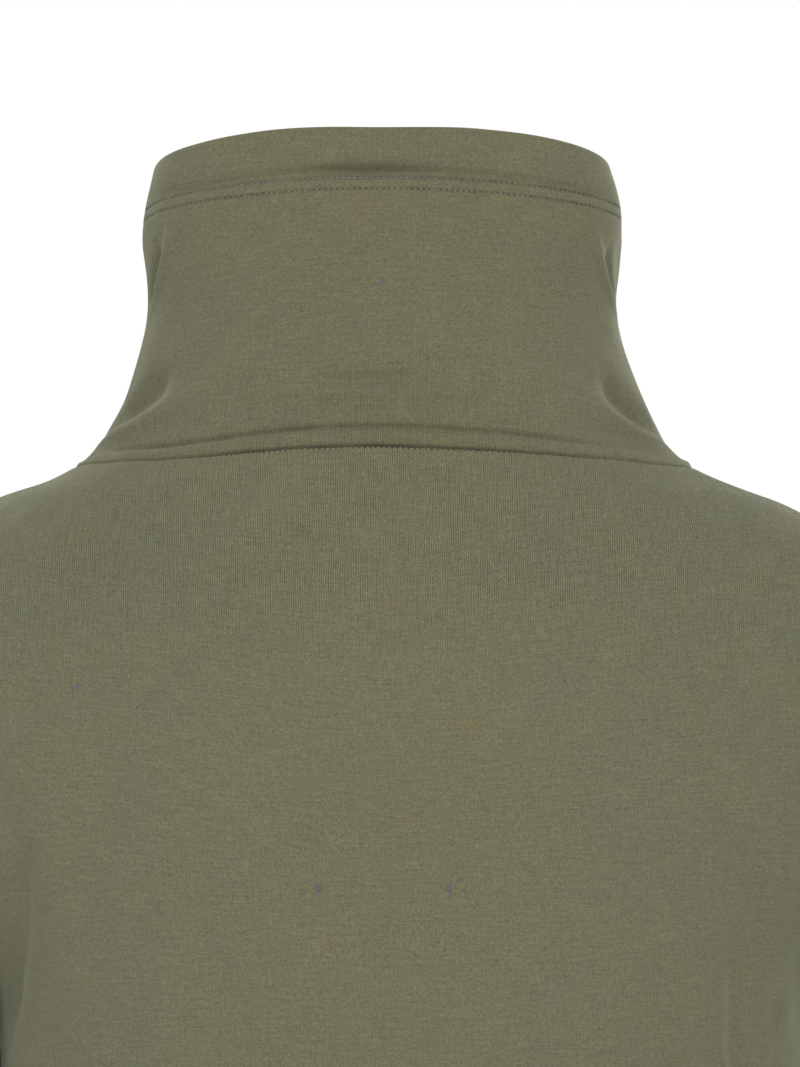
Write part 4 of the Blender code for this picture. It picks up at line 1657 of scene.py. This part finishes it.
@dataclass(kw_only=True)
class Sleeve(CutPiece):
    """One sleeve, a tube sewn along the underarm, from the armhole seam to the turned cuff."""

    side: Side
    flat: Pair = (0.46, 0.60)
    area: float = 0.170
    closed: bool = True
    columns: int = 288
    rows: int = 140
    seam_rows: int = 6
    seam_band: float = 0.0060

    def grid(self) -> Grid:
        """Rows from the cuff up, mirrored for the wearer's left.

        Returns:
            The grid.
        """
        cuff = CUFF_STATION - self.edge.levels()
        arm = np.linspace(cuff[-1], self.seam_band, self.rows + 1)[1:]
        seam = np.append(eased(self.seam_band, self.seam_rows)[::-1], 0.0)
        station = np.concatenate([cuff, arm, seam])
        turn = math.pi - np.arange(self.columns) * math.tau / self.columns
        smooth = self.form.sleeve.points(station, turn)
        outward = self.form.sleeve.outward(station, turn)
        if self.side is Side.LEFT:
            smooth = smooth[:, ::-1] * self.side.mirror
            outward = outward[:, ::-1] * self.side.mirror
        seams = self.form.seams_named(f"armhole_{self.side.tag}", f"underarm_{self.side.tag}")
        kept = kept_ends(len(station), len(cuff))
        return Grid(smooth, outward, CUFF_STATION - station, kept, seams)


# ---- Stitches --------------------------------------------------------------------------------------


class StitchTree:
    """Geometry nodes that lay one stitch after another along a line on the cloth.

    Each stitch is a small ball drawn out to size. It tilts by up to TILT, in radians about its own axes,
    and its size varies between the factors SMALLEST and LARGEST.
    """

    INPUTS = (
        ("Count", "NodeSocketInt"),
        ("Length", "NodeSocketFloat"),
        ("Width", "NodeSocketFloat"),
        ("Height", "NodeSocketFloat"),
        ("Seed", "NodeSocketInt"),
        ("Thread", "NodeSocketMaterial"),
    )
    BALL = {"Segments": 6, "Rings": 4, "Radius": 0.5}
    TILT = (0.10, 0.08, 0.12)
    SMALLEST = (0.86, 0.85, 0.80)
    LARGEST = (1.10, 1.15, 1.15)

    def __init__(self) -> None:
        """Build the tree."""
        self.tree = bpy.data.node_groups.new("stitch_row", "GeometryNodeTree")
        face = self.tree.interface
        face.new_socket(name="Geometry", in_out="INPUT", socket_type="NodeSocketGeometry")
        for name, kind in self.INPUTS:
            face.new_socket(name=name, in_out="INPUT", socket_type=kind)
        face.new_socket(name="Geometry", in_out="OUTPUT", socket_type="NodeSocketGeometry")
        pad = NodePad(self.tree)
        given = pad.add("NodeGroupInput").outputs
        curve = pad.add("GeometryNodeMeshToCurve", {"Mesh": given["Geometry"]}).outputs[0]
        spaced = pad.add("GeometryNodeResampleCurve", {"Curve": curve, "Count": given["Count"]}, mode="COUNT")
        ball = pad.add("GeometryNodeMeshUVSphere", self.BALL)
        size = pad.add("ShaderNodeCombineXYZ", {0: given["Length"], 1: given["Width"], 2: given["Height"]})
        stitch = pad.add("GeometryNodeTransform", {"Geometry": ball.outputs[0], "Scale": size.outputs[0]})
        tilt = self._chance(pad, tuple(-most for most in self.TILT), self.TILT, given["Seed"])
        angle = pad.add("FunctionNodeEulerToRotation", {0: tilt}).outputs[0]
        turn = {0: self._facing(pad), 1: angle}
        tilted = pad.add("FunctionNodeRotateRotation", turn, rotation_space="LOCAL").outputs[0]
        uneven = self._chance(pad, self.SMALLEST, self.LARGEST, given["Seed"])
        laid = pad.add(
            "GeometryNodeInstanceOnPoints",
            {"Points": spaced.outputs[0], "Instance": stitch.outputs[0], "Rotation": tilted, "Scale": uneven},
        )
        real = pad.add("GeometryNodeRealizeInstances", {"Geometry": laid.outputs[0]}).outputs[0]
        dressed = pad.add("GeometryNodeSetMaterial", {"Geometry": real, "Material": given["Thread"]})
        pad.add("NodeGroupOutput", {"Geometry": dressed.outputs[0]})

    def _facing(self, pad: NodePad) -> Socket:
        """The turn that lays a stitch along its line, flat on the cloth.

        Args:
            pad: the tree.

        Returns:
            The rotation at each point of the line.
        """
        kind = "FunctionNodeAlignRotationToVector"
        tangent = pad.add("GeometryNodeInputTangent").outputs[0]
        outward = pad.add("GeometryNodeInputNamedAttribute", {"Name": "outward"}, data_type="FLOAT_VECTOR")
        along = pad.add(kind, {"Vector": tangent}, axis="X").outputs[0]
        flat = {"Rotation": along, "Vector": outward.outputs[0]}
        return pad.add(kind, flat, axis="Z", pivot_axis="X").outputs[0]

    def _chance(self, pad: NodePad, low: tuple[float, ...], high: tuple[float, ...], seed: Socket) -> Socket:
        """A vector drawn for each stitch, between two others."""
        inputs = {0: low, 1: high, "Seed": seed}
        return pad.add("FunctionNodeRandomValue", inputs, data_type="FLOAT_VECTOR").outputs[0]

    def socket(self, name: str) -> str:
        """The identifier of a named input."""
        found = [s for s in self.tree.interface.items_tree if s.name == name and s.in_out == "INPUT"]
        return found[0].identifier


@dataclass(frozen=True)
class Stitching:
    """Sizes of one kind of stitch."""

    length: float = 0.00190
    width: float = 0.00060
    height: float = 0.00050


@dataclass
class StitchRows:
    """Rows of stitches of one material, made into a single plain mesh."""

    name: str
    tree: StitchTree
    thread: bpy.types.Material
    lines: list[tuple[Points, Points, Stitching]] = field(default_factory=list)

    def add(self, points: Points, outward: Points, stitching: Stitching) -> None:
        """Take in one more line of stitches."""
        self.lines.append((points, outward, stitching))

    def _one(self, index: int, points: Points, outward: Points, stitching: Stitching) -> bpy.types.Mesh:
        """Make one line of stitches.

        Args:
            index: the line's number, which is its seed too.
            points: the middle of each stitch.
            outward: the cloth's outward direction there.
            stitching: the stitches' sizes.

        Returns:
            The stitches as a plain mesh.
        """
        mesh = bpy.data.meshes.new(f"{self.name}_line_{index}")
        edges = [(n, n + 1) for n in range(len(points) - 1)]
        mesh.from_pydata(points.tolist(), edges, [])
        layer = mesh.attributes.new("outward", "FLOAT_VECTOR", "POINT")
        layer.data.foreach_set("vector", outward.astype(np.float32).ravel())
        line = placed(mesh.name, mesh)
        modifier = line.modifiers.new("stitches", "NODES")
        modifier.node_group = self.tree.tree
        values = {
            "Count": len(points),
            "Length": stitching.length,
            "Width": stitching.width,
            "Height": stitching.height,
            "Seed": index,
            "Thread": self.thread,
        }
        for name, value in values.items():
            modifier[self.tree.socket(name)] = value
        seen = line.evaluated_get(bpy.context.evaluated_depsgraph_get())
        made = bpy.data.meshes.new_from_object(seen)
        bpy.data.objects.remove(line, do_unlink=True)
        return made

    def make(self) -> bpy.types.Object:
        """Join every line into one piece, and dress it.

        Returns:
            The finished piece.
        """
        vertices: list[Points] = []
        faces: list[list[int]] = []
        start = 0
        for index, line in enumerate(self.lines):
            made = self._one(index, *line)
            places = np.empty(len(made.vertices) * 3, np.float32)
            made.vertices.foreach_get("co", places)
            vertices.append(places.reshape(-1, 3))
            faces += [[start + corner for corner in face.vertices] for face in made.polygons]
            start += len(made.vertices)
            bpy.data.meshes.remove(made)
        mesh = bpy.data.meshes.new(self.name)
        mesh.from_pydata(np.concatenate(vertices).tolist(), [], faces)
        mesh.shade_smooth()
        mesh.materials.append(self.thread)
        piece = placed(self.name, mesh)
        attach(piece, "root")
        return piece


def stitch_places(points: Points, outward: Points) -> tuple[Points, Points]:
    """The middle of each stitch along a fine line.

    Args:
        points: the line, finely divided.
        outward: the cloth's outward direction at each point.

    Returns:
        The middle of each stitch, and the outward direction there.
    """
    length = lengths_along(points)
    count = round(length[-1] / STITCH_PITCH)
    at = (np.arange(count) + 0.5) / count * length[-1]
    middle = np.stack([np.interp(at, length, points[:, axis]) for axis in range(3)], axis=-1)
    facing = np.stack([np.interp(at, length, outward[:, axis]) for axis in range(3)], axis=-1)
    return middle, unit(facing)


@dataclass
class EdgeStitching:
    """The twin-needle rows that hold the rim, the hem and the cuffs."""

    form: Form
    tree: StitchTree
    thread: bpy.types.Material
    stitching: Stitching = Stitching()
    lower_collar: Stitching = Stitching(length=0.00165, width=0.00050)
    proud: float = 0.00006
    steps: int = 900

    def _places(self, smooth: Points, outward: Points, seams: SeamMap) -> tuple[Points, Points]:
        """Stitch middles along a line on the smooth form."""
        shaped, outward, _, _ = self.form.shaped(smooth, outward, seams)
        return stitch_places(shaped + outward * (self.proud - STITCH_DIP), outward)

    def _round(
        self, rows: StitchRows, shell: RingShell, drop: float, seams: SeamMap, stitching: Stitching
    ) -> None:
        """Lay one row round the torso or the collar, in a back and a front half.

        Args:
            rows: the rows that take it in.
            shell: the torso or the collar.
            drop: where the row runs.
            seams: the seams that it crosses.
            stitching: its stitches' sizes.
        """
        level = np.full(self.steps, drop)
        for middle in (0.0, math.pi):
            angle = middle + np.linspace(-QUARTER, QUARTER, self.steps)
            places = self._places(shell.points(level, angle), shell.outward(level, angle), seams)
            rows.add(*places, stitching)

    def collar(self) -> bpy.types.Object:
        """Make the two rows round the collar.

        Returns:
            The finished piece.
        """
        rows = StitchRows("collar_stitches", self.tree, self.thread)
        seams = self.form.seams_named("neck", "collar_side")
        for from_edge, stitching in zip(TWIN_ROWS, (self.stitching, self.lower_collar)):
            self._round(rows, self.form.collar, RIM_DROP + from_edge, seams, stitching)
        return rows.make()

    def hem(self) -> bpy.types.Object:
        """Make the two rows round the hem.

        Returns:
            The finished piece.
        """
        rows = StitchRows("hem_stitches", self.tree, self.thread)
        seams = self.form.seams_named("side")
        for from_edge in TWIN_ROWS:
            self._round(rows, self.form.torso, HEM_DROP - from_edge, seams, self.stitching)
        return rows.make()

    def cuff(self, side: Side) -> bpy.types.Object:
        """Make the two rows round one cuff.

        Args:
            side: the sleeve's side.

        Returns:
            The finished piece.
        """
        rows = StitchRows(f"cuff_{side.tag}_stitches", self.tree, self.thread)
        seams = self.form.seams_named(f"underarm_{side.tag}")
        turn = math.pi - np.linspace(0, math.tau, self.steps)
        for from_edge in TWIN_ROWS:
            station = [CUFF_STATION - from_edge]
            smooth = self.form.sleeve.points(station, turn)[0] * side.mirror
            outward = self.form.sleeve.outward(station, turn)[0] * side.mirror
            middles, facing = self._places(smooth, outward, seams)
            rows.add(middles[:: side.value], facing[:: side.value], self.stitching)
        return rows.make()


class Tack(NamedTuple):
    """A loose end of thread: its place on a shell, its slant from upright in degrees, and its length."""

    shell: str
    angle: float
    drop: float
    slant: float
    length: float


@dataclass(frozen=True)
class ThreadTacks:
    """Short loose ends of thread that stand on the cloth of the back."""

    tacks: tuple[Tack, ...] = (
        Tack("torso", -17.0, 0.2084, 8.0, 0.0030),
        Tack("torso", 10.3, 0.2084, -12.0, 0.0030),
        Tack("torso", -53.4, 0.1293, 15.0, 0.0019),
        Tack("torso", 53.4, 0.1293, -12.0, 0.0013),
        Tack("collar", -0.7, -0.0807, -25.0, 0.0013),
    )
    width: float = 0.00115
    bead_share: float = 0.55
    proud: float = 0.00018
    metres_a_radian: float = 0.15

    def make(self, form: Form, tree: StitchTree, thread: bpy.types.Material) -> bpy.types.Object:
        """Lay each loose end as three beads that run together.

        Args:
            form: the garment's form.
            tree: the tree that lays stitches.
            thread: the thread's material.

        Returns:
            The finished piece.
        """
        rows = StitchRows("thread_tacks", tree, thread)
        shells = {"torso": form.torso, "collar": form.collar}
        seams = form.seams_named("neck")
        for tack in self.tacks:
            shell = shells[tack.shell]
            reach = np.array([-0.5, 0.0, 0.5]) * tack.length
            slant = math.radians(tack.slant)
            angle = np.radians(tack.angle) + reach * math.sin(slant) / self.metres_a_radian
            level = tack.drop - reach * math.cos(slant)
            smooth, outward = shell.points(level, angle), shell.outward(level, angle)
            shaped, outward, _, _ = form.shaped(smooth, outward, seams)
            bead = Stitching(tack.length * self.bead_share, self.width, self.width)
            rows.add(shaped + outward * self.proud, outward, bead)
        return rows.make()


# ---- The garment -----------------------------------------------------------------------------------


@dataclass
class Sweatshirt:
    """The whole garment, cut piece by cut piece."""

    form: Form = field(default_factory=Form)
    knit: KnitFinish = KnitFinish()
    # the collar's knit is the body's knit with painted shade, a lower tone, and painted light that lifts it
    # towards its sides
    collar_knit: KnitFinish = KnitFinish("olive_knit_collar_painted_shade", tone=0.845, side_light=0.06)
    thread: ThreadFinish = ThreadFinish()
    # the loose ends' thread is painted lighter towards the sides
    tack_thread: ThreadFinish = ThreadFinish("blue_grey_thread", (0.092, 0.100, 0.150), side_tone=1.15)

    def build(self) -> None:
        """Make every cut piece, and then the stitches on them."""
        self._cut()
        self._stitch()

    def _cut(self) -> None:
        """Make the cut pieces."""
        form, back, front = self.form, 0.0, math.pi
        body = (
            Panel(form=form, node="back", middle=back, flat=(0.53, 0.69), area=0.325),
            Panel(form=form, node="front", middle=front, flat=(0.53, 0.66), area=0.312),
            Sleeve(form=form, node="sleeve_left", side=Side.LEFT),
            Sleeve(form=form, node="sleeve_right", side=Side.RIGHT),
        )
        collar = (
            CollarHalf(form=form, node="collar_back", middle=back, flat=(0.39, 0.185), area=0.051),
            CollarHalf(form=form, node="collar_front", middle=front, flat=(0.42, 0.215), area=0.0566),
        )
        for finish, pieces in ((self.knit, body), (self.collar_knit, collar)):
            knit = finish.material()
            for piece in pieces:
                report(piece.make(knit))

    def _stitch(self) -> None:
        """Lay the stitches on the turned edges, and the loose ends on the back."""
        stitching = EdgeStitching(self.form, StitchTree(), self.thread.material())
        report(stitching.collar())
        report(stitching.hem())
        for side in Side:
            report(stitching.cuff(side))
        report(ThreadTacks().make(self.form, stitching.tree, self.tack_thread.material()))


def report(piece: bpy.types.Object) -> None:
    """Log a finished piece."""
    LOG.info("%s: %d faces", piece.name, len(piece.data.polygons))


# ---- Studio ----------------------------------------------------------------------------------------


def aimed(place: tuple[float, ...], aim: tuple[float, ...]) -> Euler:
    """The turn of a lamp or a camera that looks from its place at an aim."""
    return (Vector(aim) - Vector(place)).to_track_quat("-Z", "Y").to_euler()


@dataclass(frozen=True)
class Lamp:
    """A large soft light."""

    name: str
    place: Triple
    aim: Triple
    size: float
    power: float

    def make(self) -> None:
        """Add the light to the scene."""
        light = bpy.data.lights.new(self.name, "AREA")
        light.shape = "SQUARE"
        light.size = self.size
        light.energy = self.power
        lamp = placed(self.name, light)
        lamp.location = self.place
        lamp.rotation_euler = aimed(self.place, self.aim)


@dataclass(frozen=True)
class Studio:
    """A pale floor, soft light all round, and the camera straight behind the garment."""

    floor_z: float = -0.648
    floor_half: float = 6.0
    floor_colour: Colour = (0.86, 0.86, 0.85, 1.0)
    floor_roughness: float = 0.95
    floor_glow: float = 0.36
    white: Colour = (1.0, 1.0, 1.0, 1.0)
    surround: float = 0.57
    seen_surround: float = 1.0
    camera_place: Triple = (0.0, -2.5, -0.15)
    camera_aim: Triple = (0.00816, 0.0, -0.03048)
    lens: float = 234.7
    sensor: float = 36.0
    seen_span: Pair = (0.05, 50.0)
    lamps: tuple[Lamp, ...] = (
        Lamp("key", (0.7, -3.0, 2.3), (0.0, 0.0, -0.15), 1.5, 92.0),
        Lamp("fill", (-1.8, -1.9, 0.2), (0.0, 0.0, -0.15), 1.6, 13.0),
        Lamp("top", (0.0, 0.3, 2.2), (0.0, 0.0, 0.0), 1.8, 8.0),
        Lamp("front", (0.6, 2.4, 1.0), (0.0, 0.0, -0.1), 1.8, 26.0),
    )

    def build(self) -> None:
        """Set up the floor, the lights, the surround and the camera."""
        self._floor()
        self._surround()
        for lamp in self.lamps:
            lamp.make()
        self._camera()
        bpy.context.scene.view_settings.view_transform = "Standard"

    def _floor(self) -> None:
        """Lay the pale floor."""
        half, z = self.floor_half, self.floor_z
        corners = [(-half, -half, z), (half, -half, z), (half, half, z), (-half, half, z)]
        mesh = bpy.data.meshes.new("floor")
        mesh.from_pydata(corners, [], [(0, 1, 2, 3)])
        settings = {
            "Base Color": self.floor_colour,
            "Roughness": self.floor_roughness,
            "Emission Color": self.white,
            "Emission Strength": self.floor_glow,
        }
        mesh.materials.append(SurfacePad("pale_floor", settings).material)
        placed("floor", mesh)

    def _surround(self) -> None:
        """White all round, a little dimmer as a light than as a ground behind the garment."""
        world = bpy.data.worlds.new("surround")
        world.use_nodes = True
        bpy.context.scene.world = world
        pad = NodePad(world.node_tree)
        seen = pad.add("ShaderNodeLightPath").outputs["Is Camera Ray"]
        ground = world.node_tree.nodes["Background"]
        pad.put(pad.spread(seen, self.surround, self.seen_surround), ground.inputs["Strength"])
        pad.put(self.white, ground.inputs["Color"])

    def _camera(self) -> None:
        """Stand the camera at the photograph's place."""
        lens = bpy.data.cameras.new("camera")
        lens.lens = self.lens
        lens.sensor_width = self.sensor
        lens.sensor_fit = "HORIZONTAL"
        lens.clip_start, lens.clip_end = self.seen_span
        camera = placed("camera", lens)
        camera.location = self.camera_place
        camera.rotation_euler = aimed(self.camera_place, self.camera_aim)
        bpy.context.scene.camera = camera


def main() -> None:
    """Build the studio and the sweatshirt, which logs the faces of each piece."""
    logging.basicConfig(level=logging.INFO, format="%(name)s: %(message)s")
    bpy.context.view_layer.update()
    Studio().build()
    Sweatshirt().build()
    bpy.context.view_layer.update()


if __name__ == "__main__":
    main()
